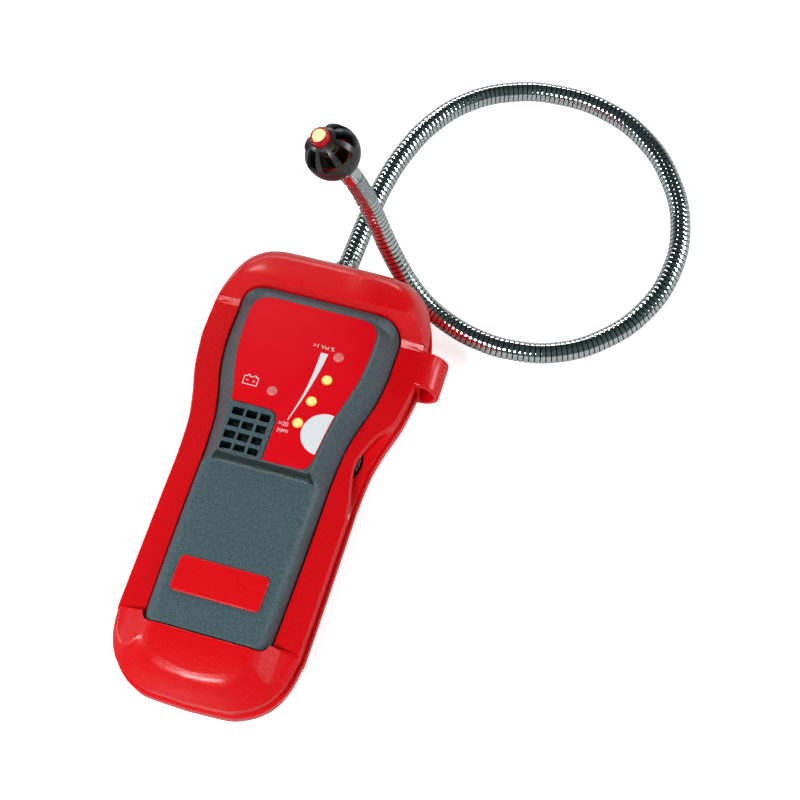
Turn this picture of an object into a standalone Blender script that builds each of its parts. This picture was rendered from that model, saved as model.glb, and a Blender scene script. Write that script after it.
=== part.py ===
"""Hand-held gas leak detector with a gooseneck probe, lying on its back.

Metres. +X is the thumbwheel side, +Y points to the gooseneck, +Z is up from
the table. The origin is on the flat back of the rear shell.
"""
import math

import bmesh
import bpy
import numpy as np
from mathutils import Matrix, Vector

for old in list(bpy.data.objects):
    bpy.data.objects.remove(old, do_unlink=True)

MM = 0.001
GAP = 0.3 * MM

# Heights above the table.
SEAM_Z = 24.5 * MM
LIP_Z = SEAM_Z - 2.9 * MM
RIM_Z = 31.2 * MM
RAIL_Z = 33.0 * MM
PAD_Z = 41.0 * MM
DECK_Z = 44.4 * MM
HOOD_Z = 45.0 * MM
BUMPER_Z = 41.2 * MM
FILM_TOP_Z = DECK_Z + 0.9 * MM
FLANGE_Z = 30.2 * MM

# Shell walls.
WALL = 2.4 * MM
BAND_INSET = 0.8 * MM
REAR_PROUD = 0.5 * MM
FLOOR = 3.8 * MM
LIP_STEP = 0.8 * MM
SIDE_LEAN = 0.20
FOOT_LEAN = 0.50
HOOD_ROUND = 11.0 * MM
BUMPER_ROUND = 10.0 * MM
RAIL_ROUND = 2.6 * MM
RAIL_END_Y = -72.8 * MM
PANEL_WALL = 2.2 * MM
PANEL_SKIRT_Z = FLANGE_Z + 0.4 * MM

# Circuit board and what stands on it.
BOARD_Z = 30.0 * MM
BOARD_THICK = 1.6 * MM
BOARD_TOP = BOARD_Z + BOARD_THICK
LED_RADIUS = 2.4 * MM
HEAD_LED_RADIUS = 2.9 * MM

# Thumbwheel.
WHEEL_X = 25.2 * MM
WHEEL_Y = 15.6 * MM
WHEEL_RADIUS = 11.0 * MM
WHEEL_LOW = 24.6 * MM
WHEEL_HIGH = 29.0 * MM
WHEEL_GAP = 0.6 * MM
SHAFT_RADIUS = 2.9 * MM

# Battery compartment.
CELL_RADIUS = 7.1 * MM
CELL_LENGTH = 50.0 * MM
CELL_PITCH = 14.6 * MM
CELL_Z = FLOOR + 0.4 * MM + CELL_RADIUS
CELL_END_GAP = 0.4 * MM
CONTACT_THICK = 1.5 * MM
BAY_Y = -50.0 * MM
TRAY_WALL = 1.4 * MM
TRAY_HALF_X = 2.0 * CELL_PITCH + TRAY_WALL + 0.4 * MM
TRAY_HALF_Y = CELL_LENGTH / 2.0 + CELL_END_GAP + CONTACT_THICK + GAP + TRAY_WALL
TRAY_TOP = CELL_Z + CELL_RADIUS + GAP + TRAY_WALL
DOOR_HALF_X = 28.5 * MM
DOOR_TONGUE = 1.5 * MM
DOOR_FACE = 1.1 * MM
DOOR_THICK = 2.2 * MM
DOOR_END_Y = BAY_Y + TRAY_HALF_Y + 2.0 * MM

# Gooseneck and sensor head.
GLAND_END = 110.4 * MM
GLAND_Z = 20.4 * MM
GLAND_RADIUS = 5.9 * MM
NECK_RADIUS = 4.7 * MM
NECK_GROOVE = 0.45 * MM
NECK_PITCH = 8.82 * MM
NECK_SIDES = 8
HEAD_CENTRE = Vector((-4.1, 118.1, 98.5)) * MM
HEAD_AXIS = Vector((-0.33, -0.12, 0.936)).normalized()
HEAD_RADIUS = 10.6 * MM
CAGE_WALL = 1.3 * MM
CAGE_RIBS = 8
SLEEVE_START = -8.8 * MM
SLEEVE_END = -20.2 * MM

parts = bpy.data.collections.new("gas_leak_detector")
cutters = bpy.data.collections.new("cutters")
bpy.context.scene.collection.children.link(parts)
bpy.context.scene.collection.children.link(cutters)


def material(name, colour, roughness, metallic=0.0, glow=0.0):
    """A Principled material with plain values."""
    made = bpy.data.materials.new(name)
    made.use_nodes = True
    shader = made.node_tree.nodes["Principled BSDF"]
    shader.inputs["Base Color"].default_value = (*colour, 1.0)
    shader.inputs["Roughness"].default_value = roughness
    shader.inputs["Metallic"].default_value = metallic
    if glow:
        shader.inputs["Emission Color"].default_value = (*colour, 1.0)
        shader.inputs["Emission Strength"].default_value = glow
    made.diffuse_color = (*colour, 1.0)
    return made


RED = material("red_case", (0.70, 0.010, 0.012), 0.35)
GREY = material("grey_panel", (0.085, 0.135, 0.165), 0.45)
LABEL_RED = material("red_label", (0.66, 0.010, 0.014), 0.40)
PRINT_WHITE = material("white_print", (0.80, 0.83, 0.86), 0.45)
LENS_OFF = material("lens_off", (0.62, 0.10, 0.10), 0.30)
LENS_LIT = material("lens_lit", (0.95, 0.75, 0.05), 0.25, 0.0, 1.5)
BOARD_GREEN = material("board_green", (0.02, 0.16, 0.06), 0.45)
BLACK = material("black_plastic", (0.015, 0.015, 0.017), 0.40)
CHROME = material("chrome", (0.62, 0.64, 0.64), 0.12, 1.0)
STEEL = material("steel", (0.50, 0.50, 0.50), 0.30, 1.0)
SPRING = material("contact_metal", (0.60, 0.58, 0.52), 0.28, 1.0)
CELL_JACKET = material("cell_jacket", (0.06, 0.10, 0.25), 0.35)
CELL_METAL = material("cell_metal", (0.55, 0.55, 0.55), 0.25, 1.0)
RED_CLEAR = material("red_clear", (0.75, 0.02, 0.02), 0.15, 0.0, 0.2)


def add(name, mesh, *materials, where=parts):
    """Link a mesh as a named object with its materials."""
    made = bpy.data.objects.new(name, mesh)
    for entry in materials:
        mesh.materials.append(entry)
    where.objects.link(made)
    if where is cutters:
        made.hide_render = True
        made.display_type = "WIRE"
    return made


def smooth(piece, degrees=35.0):
    """Smooth shading that keeps the edges sharper than the angle."""
    piece.data.shade_smooth()
    piece.data.set_sharp_from_angle(angle=math.radians(degrees))


def boolean(piece, tool, operation="DIFFERENCE"):
    """Cut or join one object with another, exactly."""
    step = piece.modifiers.new(operation.lower(), "BOOLEAN")
    step.operation = operation
    step.solver = "EXACT"
    step.object = tool


def bevel(piece, width, segments=2, degrees=40.0):
    """Round the edges sharper than the angle."""
    step = piece.modifiers.new("bevel", "BEVEL")
    step.width = width
    step.segments = segments
    step.limit_method = "ANGLE"
    step.angle_limit = math.radians(degrees)
    step.harden_normals = False


def through(keys, per):
    """Rows on a smooth line through the key rows, `per` steps to each span."""
    keys = np.asarray(keys, float)
    ends = np.vstack([2.0 * keys[0] - keys[1], keys, 2.0 * keys[-1] - keys[-2]])
    t = (np.arange(per) / per)[:, None]
    rows = []
    for a, b, c, d in zip(ends[:-3], ends[1:-2], ends[2:-1], ends[3:]):
        rows.append(0.5 * (2 * b + (c - a) * t + (2 * a - 5 * b + 4 * c - d) * t**2
                           + (3 * b - a - 3 * c + d) * t**3))
    rows.append(keys[-1:])
    return np.vstack(rows)


def mirrored(half, columns=(0,)):
    """Close a right-hand half line (top centre to bottom centre) round the left."""
    left = half[-2:0:-1].copy()
    left[:, columns] *= -1.0
    return np.vstack([half, left])


def offset(outline, distance):
    """Move a clockwise closed outline outward by a distance."""
    side = np.roll(outline, -1, axis=0) - np.roll(outline, 1, axis=0)
    side /= np.linalg.norm(side, axis=1)[:, None]
    return outline + distance * np.stack([-side[:, 1], side[:, 0]], axis=1)


def loft(name, rows, ring, *materials, where=parts):
    """Skin closed sections into one body; `ring` joins the last to the first."""
    count, size = rows.shape[0], rows.shape[1]
    form = bmesh.new()
    grid = [[form.verts.new(Vector(point)) for point in row] for row in rows]
    for i in range(count if ring else count - 1):
        here, there = grid[i], grid[(i + 1) % count]
        for j in range(size):
            k = (j + 1) % size
            form.faces.new((here[j], here[k], there[k], there[j]))
    if not ring:
        form.faces.new(grid[0])
        form.faces.new(grid[-1])
    bmesh.ops.recalc_face_normals(form, faces=form.faces)
    mesh = bpy.data.meshes.new(name)
    form.to_mesh(mesh)
    form.free()
    return add(name, mesh, *materials, where=where)


def plate(name, outline, low, high, *materials, where=parts):
    """A flat plate: a closed drawn line, filled and given its thickness."""
    drawn = bpy.data.curves.new(name + "_line", "CURVE")
    drawn.dimensions = "2D"
    drawn.fill_mode = "BOTH"
    drawn.extrude = (high - low) / 2.0
    spline = drawn.splines.new("POLY")
    spline.points.add(len(outline) - 1)
    for point, place in zip(spline.points, outline):
        point.co = (place[0], place[1], 0.0, 1.0)
    spline.use_cyclic_u = True
    holder = bpy.data.objects.new(name + "_line", drawn)
    bpy.context.scene.collection.objects.link(holder)
    bpy.context.view_layer.update()
    mesh = bpy.data.meshes.new_from_object(holder)
    bpy.data.objects.remove(holder, do_unlink=True)
    form = bmesh.new()
    form.from_mesh(mesh)
    bmesh.ops.remove_doubles(form, verts=form.verts, dist=0.00001)
    bmesh.ops.translate(form, verts=form.verts, vec=(0.0, 0.0, (low + high) / 2.0))
    bmesh.ops.recalc_face_normals(form, faces=form.faces)
    form.to_mesh(mesh)
    form.free()
    return add(name, mesh, *materials, where=where)


def box(name, low, high, *materials, where=parts, round_by=0.0):
    """A box between two corners."""
    low, high = np.asarray(low, float), np.asarray(high, float)
    form = bmesh.new()
    bmesh.ops.create_cube(form, size=1.0)
    bmesh.ops.scale(form, verts=form.verts, vec=high - low)
    bmesh.ops.translate(form, verts=form.verts, vec=(low + high) / 2.0)
    mesh = bpy.data.meshes.new(name)
    form.to_mesh(mesh)
    form.free()
    made = add(name, mesh, *materials, where=where)
    if round_by:
        bevel(made, round_by)
    return made


def lathe(name, profile, steps, *materials, frame=None, where=parts, closed=False):
    """Turn a profile of (radius, height), written top to bottom, about Z."""
    mesh = bpy.data.meshes.new(name)
    points = [(radius, 0.0, height) for radius, height in profile]
    edges = [(i, i + 1) for i in range(len(points) - 1)]
    if closed:
        edges.append((len(points) - 1, 0))
    mesh.from_pydata(points, edges, [])
    made = add(name, mesh, *materials, where=where)
    turn = made.modifiers.new("turn", "SCREW")
    turn.steps = steps
    turn.render_steps = steps
    turn.use_merge_vertices = True
    turn.merge_threshold = 0.00001
    turn.use_smooth_shade = True
    if frame is not None:
        made.matrix_world = frame
    return made


def fixed_mesh(piece):
    """Turn what the modifiers made into the object's own mesh."""
    bpy.context.view_layer.update()
    ready = piece.evaluated_get(bpy.context.evaluated_depsgraph_get())
    mesh = bpy.data.meshes.new_from_object(ready)
    piece.modifiers.clear()
    piece.data = mesh


def rectangle(x0, y0, x1, y1, radius, steps=3):
    """A clockwise rectangle with rounded corners."""
    corners = [(x1, y1, 90), (x1, y0, 0), (x0, y0, -90), (x0, y1, -180)]
    line = []
    for x, y, start in corners:
        cx = x - radius if x == x1 else x + radius
        cy = y - radius if y == y1 else y + radius
        for turn in np.radians(start - np.linspace(0.0, 90.0, steps + 1)):
            line.append((cx + radius * math.cos(turn), cy + radius * math.sin(turn)))
    return np.array(line)


# The front shell is a frame round the grey panel. Each key row runs from a point
# of the outer rim (x, y) in to a point of the panel opening (x, y), in
# millimetres, for the right-hand half.
FRAME_KEYS = np.array([
    (0.0, 104.7, 0.0, 80.0),
    (24.0, 104.3, 18.5, 80.0),
    (31.5, 103.0, 25.6, 80.0),
    (37.6, 99.5, 30.0, 79.4),
    (42.0, 94.9, 33.0, 78.2),
    (45.2, 89.2, 34.9, 76.8),
    (47.2, 83.6, 35.9, 75.6),
    (48.2, 79.4, 36.2, 75.0),
    (48.75, 74.4, 36.5, 74.4),
    (48.9, 71.5, 37.0, 71.5),
    (49.0, 57.0, 37.0, 57.0),
    (48.0, 48.3, 36.3, 48.5),
    (46.7, 40.0, 35.2, 41.0),
    (45.3, 34.5, 33.6, 35.0),
    (43.4, 28.1, 31.8, 28.6),
    (41.9, 21.8, 30.3, 22.2),
    (40.7, 16.0, 29.3, 16.5),
    (40.1, 10.5, 28.9, 10.8),
    (39.7, 4.0, 28.5, 4.0),
    (39.4, -4.0, 28.3, -4.0),
    (39.4, -10.6, 28.3, -10.6),
    (39.4, -11.2, 28.3, -11.2),
    (39.2, -66.0, 27.4, -66.0),
    (39.1, -72.8, 27.0, -72.8),
    (38.6, -74.6, 25.8, -75.8),
    (38.0, -79.4, 24.4, -77.0),
    (36.7, -84.9, 21.8, -77.6),
    (34.7, -89.7, 18.6, -77.6),
    (31.4, -94.4, 15.4, -77.6),
    (25.6, -98.9, 12.0, -77.6),
    (17.0, -102.0, 8.4, -77.6),
    (0.0, -102.8, 0.0, -77.6),
])
frame_ring = mirrored(FRAME_KEYS * MM, (0, 2))
rim_line = frame_ring[:, 0:2]

# How an edge rounds over (share of its width, share of its height), the ramp up
# to the hood by y, and the bumper's shoulder by the distance from the middle.
CROWN = np.array([(0.0, 0.0), (0.12, 0.20), (0.36, 0.56), (0.68, 0.87), (1.0, 1.0)])
RAMP = np.array([(71.5, 33.0), (74.4, 35.2), (82.2, 45.0), (84.0, 46.0)]) * MM
SHOULDER = np.array([(20.0, 41.2), (22.5, 40.4), (25.6, 38.8), (28.0, 36.9), (31.0, 34.6),
                     (34.0, 33.3), (36.5, 32.5), (38.5, 31.9)]) * MM

# The scoop for the thumb: how deep it cuts into the right-hand rim, by y.
SCOOP = np.array([(-11.2, 0.0), (-10.6, 0.6), (-4.0, 1.3), (4.0, 3.5), (10.5, 5.1), (16.0, 5.3),
                  (21.8, 4.6), (28.1, 3.3), (34.5, 0.0)]) * MM


def height(x, y, inward):
    """Height of the shell's top at distances in from the rim."""
    rail = RIM_Z + (RAIL_Z - RIM_Z) * np.interp(inward / RAIL_ROUND, *CROWN.T)
    hood = RIM_Z + (HOOD_Z - RIM_Z) * np.interp(inward / HOOD_ROUND, *CROWN.T)
    bumper = RIM_Z + (BUMPER_Z - RIM_Z) * np.interp(inward / BUMPER_ROUND, *CROWN.T)
    top = np.maximum(rail, np.minimum(hood, np.interp(y, *RAMP.T)))
    foot = np.minimum(bumper, np.interp(abs(x), *SHOULDER.T))
    return np.where(y < RAIL_END_Y - GAP, foot, top)


def frame_sections():
    """Hollow sections of the front shell, one to each station round the rim."""
    sections = []
    for x, y, ix, iy in frame_ring:
        scoop = np.interp(y, *SCOOP.T) if x > 0.0 else 0.0
        span = math.hypot(ix - x, iy - y)
        side = np.array([(ix - x) / span, (iy - y) / span])
        tries = np.linspace(scoop, span, 400)
        levels = height(x + side[0] * tries, y + side[1] * tries, tries - scoop)
        high = tries[levels > levels.max() - 0.02 * MM]
        crown_end = min(high[0], span - 1.2 * MM)
        crest = min(max(high[-1], crown_end + 0.4 * MM), span - 0.5 * MM)
        low = SEAM_Z + GAP / 2.0
        line = [(BAND_INSET, low), (BAND_INSET, low + 1.2 * MM),
                (BAND_INSET + scoop, low + 1.8 * MM), (BAND_INSET + scoop, RIM_Z - 0.9 * MM)]
        line += [(a, np.interp(a, tries, levels))
                 for a in scoop + (crown_end - scoop) * CROWN[:, 0]]
        edge = levels[-1] - (0.5 * MM if crest > span - 0.6 * MM else 0.0)
        line += [(crest, np.interp(crest, tries, levels)), (span, edge), (span, FLANGE_Z)]
        inner = scoop + WALL + BAND_INSET
        shelf = min(scoop + WALL + 0.72 * (crown_end - scoop), span - WALL - 0.6 * MM)
        for a in (span - WALL, shelf):
            roof = np.interp(a, tries, levels) - WALL
            if a == span - WALL:
                line.append((a, FLANGE_Z))
                roof = min(roof, edge - WALL)
            line.append((a, max(roof, FLANGE_Z + 0.2 * MM)))
        line += [(inner, RIM_Z - 2.0 * MM), (inner, low)]
        sections.append([(x + side[0] * a, y + side[1] * a, z) for a, z in line])
    return np.array(sections)


front_shell = loft("front_shell", frame_sections(), True, RED)

# Lug with a through hole along Y, split between the two shells at the seam.
LUG_ROOT_X = 46.0 * MM
LUG_ROUND_X = 49.4 * MM
LUG_TIP_X = 58.8 * MM
LUG_Y = (55.8 * MM, 72.3 * MM)
LUG_Z = (15.4 * MM, RAIL_Z - 0.1 * MM)
LUG_WALL = 2.3 * MM
LUG_EDGE = 0.4 * MM


def lug(name, seam, outer):
    """Half of the lug: a D-shaped profile in x and z, carried along y."""
    away = math.copysign(1.0, outer - seam)
    turns = np.radians((0.0, 20.0, 40.0, 60.0, 77.0, 90.0))
    sections = []
    for y, less in ((LUG_Y[0], LUG_EDGE), (LUG_Y[0] + LUG_EDGE, 0.0),
                    (LUG_Y[1] - LUG_EDGE, 0.0), (LUG_Y[1], LUG_EDGE)):
        wide = LUG_TIP_X - LUG_ROUND_X - less
        tall = outer - seam - away * less
        line = [(LUG_ROOT_X, seam), (LUG_ROOT_X, seam + tall)]
        line += [(LUG_ROUND_X + wide * math.sin(t), seam + tall * math.cos(t)) for t in turns]
        sections.append([(x, y, z) for x, z in line])
    return loft(name, np.array(sections), False, RED, where=cutters)


bore_wide = LUG_TIP_X - LUG_WALL - LUG_ROUND_X - 1.2 * MM
bore_mid = (LUG_Z[0] + LUG_Z[1]) / 2.0
bore_tall = (LUG_Z[1] - LUG_Z[0]) / 2.0 - LUG_WALL
bore_line = [(LUG_ROUND_X + 1.2 * MM + bore_wide * math.sin(t), bore_mid + bore_tall * math.cos(t))
             for t in np.radians(np.arange(0.0, 181.0, 22.5))]
bore_line += [(LUG_ROUND_X + 0.6 * MM, bore_mid - bore_tall + 0.6 * MM),
              (LUG_ROUND_X + 0.6 * MM, bore_mid + bore_tall - 0.6 * MM)]
lug_bore = loft("lug_bore", np.array([[(x, y, z) for x, z in bore_line]
                                      for y in (LUG_Y[0] - 0.01, LUG_Y[1] + 0.01)]),
                False, RED, where=cutters)
boolean(front_shell, lug("lug_front", SEAM_Z + GAP / 2.0, LUG_Z[1]), "UNION")
boolean(front_shell, lug_bore)

wheel_slot = lathe("wheel_slot",
                   [(0.0, WHEEL_HIGH + WHEEL_GAP), (WHEEL_RADIUS + WHEEL_GAP, WHEEL_HIGH + WHEEL_GAP),
                    (WHEEL_RADIUS + WHEEL_GAP, WHEEL_LOW - WHEEL_GAP), (0.0, WHEEL_LOW - WHEEL_GAP)],
                   24, RED, frame=Matrix.Translation((WHEEL_X, WHEEL_Y, 0.0)), where=cutters)
boolean(front_shell, wheel_slot)

gland_frame = Matrix.Translation((0.0, 0.0, GLAND_Z)) @ Matrix.Rotation(-math.pi / 2, 4, "X")
hole_radius = GLAND_RADIUS + 0.4 * MM
neck_hole = lathe("neck_hole",
                  [(0.0, GLAND_END + 0.01), (hole_radius, GLAND_END + 0.01),
                   (hole_radius, GLAND_END - 14.4 * MM), (0.0, GLAND_END - 14.4 * MM)],
                  24, RED, frame=gland_frame, where=cutters)
boolean(front_shell, neck_hole)
smooth(front_shell, 28.0)

# The rear shell: a lip at the rim line, and below it a hull that leans in, most
# of all at the foot. Each row is a height and how far it stands in at least.
HULL = [(SEAM_Z - GAP / 2.0, 0.0), (LIP_Z, 0.0), (LIP_Z - 0.5 * MM, LIP_STEP),
        (4.0 * MM, LIP_STEP), (1.2 * MM, 2.0 * MM), (0.0, 4.2 * MM)]
along = np.roll(rim_line, -1, axis=0) - np.roll(rim_line, 1, axis=0)
facing = along[:, 0:1] / np.linalg.norm(along, axis=1)[:, None]
lean = SIDE_LEAN + (FOOT_LEAN - SIDE_LEAN) * np.clip(-facing, 0.0, 1.0)**2


def hull(rows, shrink):
    """Outlines of the rear shell at the given heights, all moved in by one distance."""
    lines = [offset(rim_line, REAR_PROUD - shrink - step - lean * max(LIP_Z - z, 0.0))
             for z, step in rows]
    return np.array([np.column_stack([line, np.full(len(line), row[0])])
                     for line, row in zip(lines, rows)])


rear_shell = loft("rear_shell", hull(HULL, 0.0), False, RED)
outer_form = rear_shell.data.copy()

cavity = loft("cavity", hull([(SEAM_Z + 10 * MM, 0.0), (LIP_Z, 0.0), (FLOOR, LIP_STEP)], WALL),
              False, RED, where=cutters)
boolean(rear_shell, cavity)
boolean(rear_shell, lug("lug_rear", SEAM_Z - GAP / 2.0, LUG_Z[0]), "UNION")
boolean(rear_shell, lug_bore)
boolean(rear_shell, neck_hole)

# The battery door slides out to -Y in a stepped channel of the back.
CHANNEL_LEDGE_Z = DOOR_FACE + GAP
door_slot = box("door_slot", (-DOOR_HALF_X - GAP, -0.12, -0.002),
                (DOOR_HALF_X + GAP, DOOR_END_Y + GAP, CHANNEL_LEDGE_Z), RED, where=cutters)
door_groove = box("door_groove", (-DOOR_HALF_X - DOOR_TONGUE - GAP, -0.12, DOOR_FACE - GAP),
                  (DOOR_HALF_X + DOOR_TONGUE + GAP, DOOR_END_Y + GAP, DOOR_THICK + GAP), RED,
                  where=cutters)
bay_hole = box("bay_hole", (-DOOR_HALF_X, BAY_Y - TRAY_HALF_Y + TRAY_WALL + 1.0 * MM, -0.002),
               (DOOR_HALF_X, BAY_Y + TRAY_HALF_Y - TRAY_WALL - 1.0 * MM, FLOOR + 0.001), RED,
               where=cutters)
for tool in (door_slot, door_groove, bay_hole):
    boolean(rear_shell, tool)

SCREW_PLACES = [(34.0 * MM, 84.0 * MM), (-34.0 * MM, 84.0 * MM),
                (27.0 * MM, -9.0 * MM), (-27.0 * MM, -9.0 * MM)]
for number, (x, y) in enumerate(SCREW_PLACES, 1):
    hole = lathe(f"screw_hole_{number}",
                 [(0.0, FLOOR + 0.002), (1.7 * MM, FLOOR + 0.002), (1.7 * MM, 2.2 * MM),
                  (3.3 * MM, 2.2 * MM), (3.3 * MM, -0.002), (0.0, -0.002)], 12, RED,
                 frame=Matrix.Translation((x, y, 0.0)), where=cutters)
    boolean(rear_shell, hole)
    screw = lathe(f"case_screw_{number}",
                  [(0.0, 24 * MM), (1.4 * MM, 22 * MM), (1.4 * MM, 1.9 * MM),
                   (2.9 * MM, 1.9 * MM), (2.9 * MM, 0.2 * MM), (0.0, 0.2 * MM)], 10, STEEL,
                  frame=Matrix.Translation((x, y, 0.0)))
    slit = box(f"slit_{number}", (x - 4.0 * MM, y - 0.35 * MM, -0.001),
               (x + 4.0 * MM, y + 0.35 * MM, 0.9 * MM), STEEL, where=cutters)
    boolean(screw, slit)
smooth(rear_shell, 28.0)

door_form = bpy.data.objects.new("battery_door", outer_form)
parts.objects.link(door_form)
door_body = box("door_body", (-DOOR_HALF_X, -0.12, -0.002),
                (DOOR_HALF_X, DOOR_END_Y, DOOR_THICK), RED, where=cutters)
door_wings = box("door_wings", (-DOOR_HALF_X - DOOR_TONGUE, -0.0, DOOR_FACE),
                 (DOOR_HALF_X + DOOR_TONGUE, 0.0, DOOR_THICK), RED, where=cutters)
for vertex in door_wings.data.vertices:
    vertex.co.y = DOOR_END_Y if vertex.index % 4 in (2, 3) else -96.0 * MM
boolean(door_body, door_wings, "UNION")
boolean(door_form, door_body, "INTERSECT")
for step in range(5):
    ridge = box(f"door_ridge_{step}", (-9.0 * MM, (-40.0 - 2.2 * step) * MM, -0.001),
                (9.0 * MM, (-39.0 - 2.2 * step) * MM, 0.4 * MM), RED, where=cutters)
    boolean(door_form, ridge)
smooth(door_form, 28.0)

# The grey panel: sections across it from the top edge to the bottom edge, in
# millimetres: y, half width at the rails, half width of the deck, deck height,
# height of the hollow below, the height of its outer edge, and how round the
# side is (0 straight, 1 round).
PANEL_ROWS = np.array([
    (79.4, 25.5, 23.5, 41.6, 31.0, 41.2, 0.0),
    (78.9, 29.6, 25.4, 41.9, 31.0, 40.6, 0.0),
    (77.8, 32.2, 25.6, 42.5, 31.2, 39.2, 0.0),
    (77.4, 33.0, 25.5, 42.7, 39.6, 38.7, 0.0),
    (76.3, 34.5, 25.3, 43.2, 40.6, 37.3, 0.0),
    (74.9, 35.6, 25.0, 43.9, 41.4, 35.5, 0.0),
    (73.7, 36.1, 25.0, 44.3, 42.0, 34.3, 0.0),
    (71.9, 36.4, 26.9, 44.4, 42.2, 33.0, 0.0),
    (69.0, 36.4, 28.5, 44.4, 42.2, 32.8, 0.0),
    (63.0, 36.4, 28.9, 44.4, 42.2, 32.8, 0.0),
    (55.0, 36.3, 28.7, 44.4, 42.2, 32.8, 0.0),
    (46.0, 35.4, 27.8, 44.4, 42.2, 32.8, 0.0),
    (39.0, 34.1, 26.4, 44.4, 42.2, 32.8, 0.0),
    (33.0, 32.4, 24.9, 44.4, 42.2, 32.8, 0.0),
    (27.0, 30.8, 23.5, 44.4, 42.2, 32.8, 0.0),
    (20.0, 29.3, 22.4, 44.4, 42.2, 32.8, 0.0),
    (12.0, 28.4, 21.3, 44.4, 42.2, 32.8, 0.0),
    (4.0, 27.9, 20.4, 44.4, 42.2, 32.8, 0.0),
    (-0.8, 27.7, 20.0, 44.4, 42.2, 32.8, 0.1),
    (-1.5, 27.7, 19.9, 43.9, 41.0, 32.8, 0.2),
    (-3.9, 27.7, 20.4, 41.3, 38.8, 32.8, 0.9),
    (-5.2, 27.7, 20.8, 41.0, 38.8, 32.8, 1.0),
    (-40.0, 27.4, 20.8, 41.0, 38.8, 32.8, 1.0),
    (-66.0, 26.8, 20.8, 41.0, 38.8, 32.8, 1.0),
    (-72.0, 26.4, 20.7, 41.0, 38.8, 32.8, 1.0),
    (-74.2, 25.7, 20.5, 41.0, 38.8, 33.6, 1.0),
    (-74.6, 25.5, 20.4, 41.0, 31.4, 34.0, 1.0),
    (-76.0, 23.9, 19.8, 41.0, 31.4, 36.0, 1.0),
    (-77.0, 21.2, 18.0, 40.9, 31.2, 38.0, 1.0),
])


def panel_sections():
    """Hollow sections of the panel: skirt, side, deck, side, skirt and back."""
    sections = []
    for y, wide, deck, top, under, edge, roundness in PANEL_ROWS * ([MM] * 6 + [1.0]):
        knee = wide - deck
        rise = top - edge
        first = (wide - knee * (0.34 - 0.16 * roundness), edge + rise * (0.36 + 0.22 * roundness))
        second = (deck + knee * (0.12 + 0.22 * roundness), top - rise * (0.11 - 0.03 * roundness))
        right = [(deck - 0.6 * MM, top), second, first, (wide, edge), (wide, PANEL_SKIRT_Z)]
        inner = [(wide - PANEL_WALL, PANEL_SKIRT_Z), (deck - 0.8 * MM, under)]
        loop = right + inner
        loop = loop + [(-x, z) for x, z in loop[::-1]]
        sections.append([(x, y, z) for x, z in loop])
    return np.array(sections)


front_panel = loft("front_panel", panel_sections(), False, GREY)
GRILLE = np.array([(-19.5, -0.6), (-21.6, 21.9), (-5.6, 21.9), (-3.2, 21.2), (-1.6, 19.7),
                   (-0.9, 17.4), (-0.9, -0.6)]) * MM
grille_frame = plate("grille_frame", GRILLE, DECK_Z - 0.6 * MM, FILM_TOP_Z - 0.1 * MM, GREY,
                     where=cutters)
boolean(front_panel, grille_frame, "UNION")
for column, (x, half) in enumerate([(-17.3, 2.2), (-11.3, 2.2), (-5.2, 2.1)]):
    for row, (y, tall) in enumerate([(17.7, 2.1), (12.0, 2.1), (6.3, 2.1), (1.3, 1.6)]):
        slot = box(f"slot_{column}_{row}", ((x - half) * MM, (y - tall) * MM, 0.039),
                   ((x + half) * MM, (y + tall) * MM, 0.047), GREY, where=cutters)
        boolean(front_panel, slot)

LEDS = {"led_scale_4": (15.7, 53.2, LENS_OFF), "led_scale_3": (14.2, 41.5, LENS_LIT),
        "led_scale_2": (11.0, 30.3, LENS_LIT), "led_scale_1": (8.6, 19.2, LENS_LIT),
        "led_battery": (-6.5, 30.5, LENS_OFF)}
lens_bores = []
for name, (x, y, lens) in LEDS.items():
    place = Matrix.Translation((x * MM, y * MM, 0.0))
    wide = LED_RADIUS + GAP
    bore = lathe(name + "_bore", [(0.0, 0.048), (wide, 0.048), (wide, 0.040), (0.0, 0.040)],
                 12, LABEL_RED, frame=place, where=cutters)
    lens_bores.append(bore)
    boolean(front_panel, bore)
    dome = [(LED_RADIUS * math.sin(a), FILM_TOP_Z - 0.4 * MM + 1.3 * MM * math.cos(a))
            for a in np.radians((0, 35, 65, 90))]
    dome[0] = (0.0, dome[0][1])
    lathe(name, dome + [(LED_RADIUS, BOARD_TOP + GAP), (0.0, BOARD_TOP + GAP)], 12, lens)
    bpy.data.objects[name].matrix_world = place
smooth(front_panel, 28.0)

# The label: right-hand edge from the top centre down, then round the grille.
LABEL_HALF = np.array([
    (0.0, 73.6), (10.0, 73.6), (19.5, 73.5), (24.0, 72.6), (26.9, 70.4), (28.2, 66.6),
    (28.3, 60.0), (27.9, 51.5), (26.9, 44.0), (25.3, 36.5), (23.5, 29.5), (22.1, 23.6),
    (21.0, 15.0), (19.4, -0.6)]) * MM
right_edge = through(LABEL_HALF, 2)
left_edge = right_edge[(right_edge[:, 1] > 22.6 * MM) & (right_edge[:, 0] > 0.0)][::-1]
left_edge = left_edge * [-1.0, 1.0]
CORNER = np.array([(-21.7, 22.4), (-5.4, 22.4), (-2.9, 21.7), (-1.1, 20.0), (-0.4, 17.4),
                   (-0.4, -0.6)]) * MM
label_line = np.vstack([right_edge, CORNER[::-1], left_edge])
display_label = plate("display_label", label_line, DECK_Z + GAP, FILM_TOP_Z, LABEL_RED,
                      PRINT_WHITE)
for bore in lens_bores:
    boolean(display_label, bore)

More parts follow.
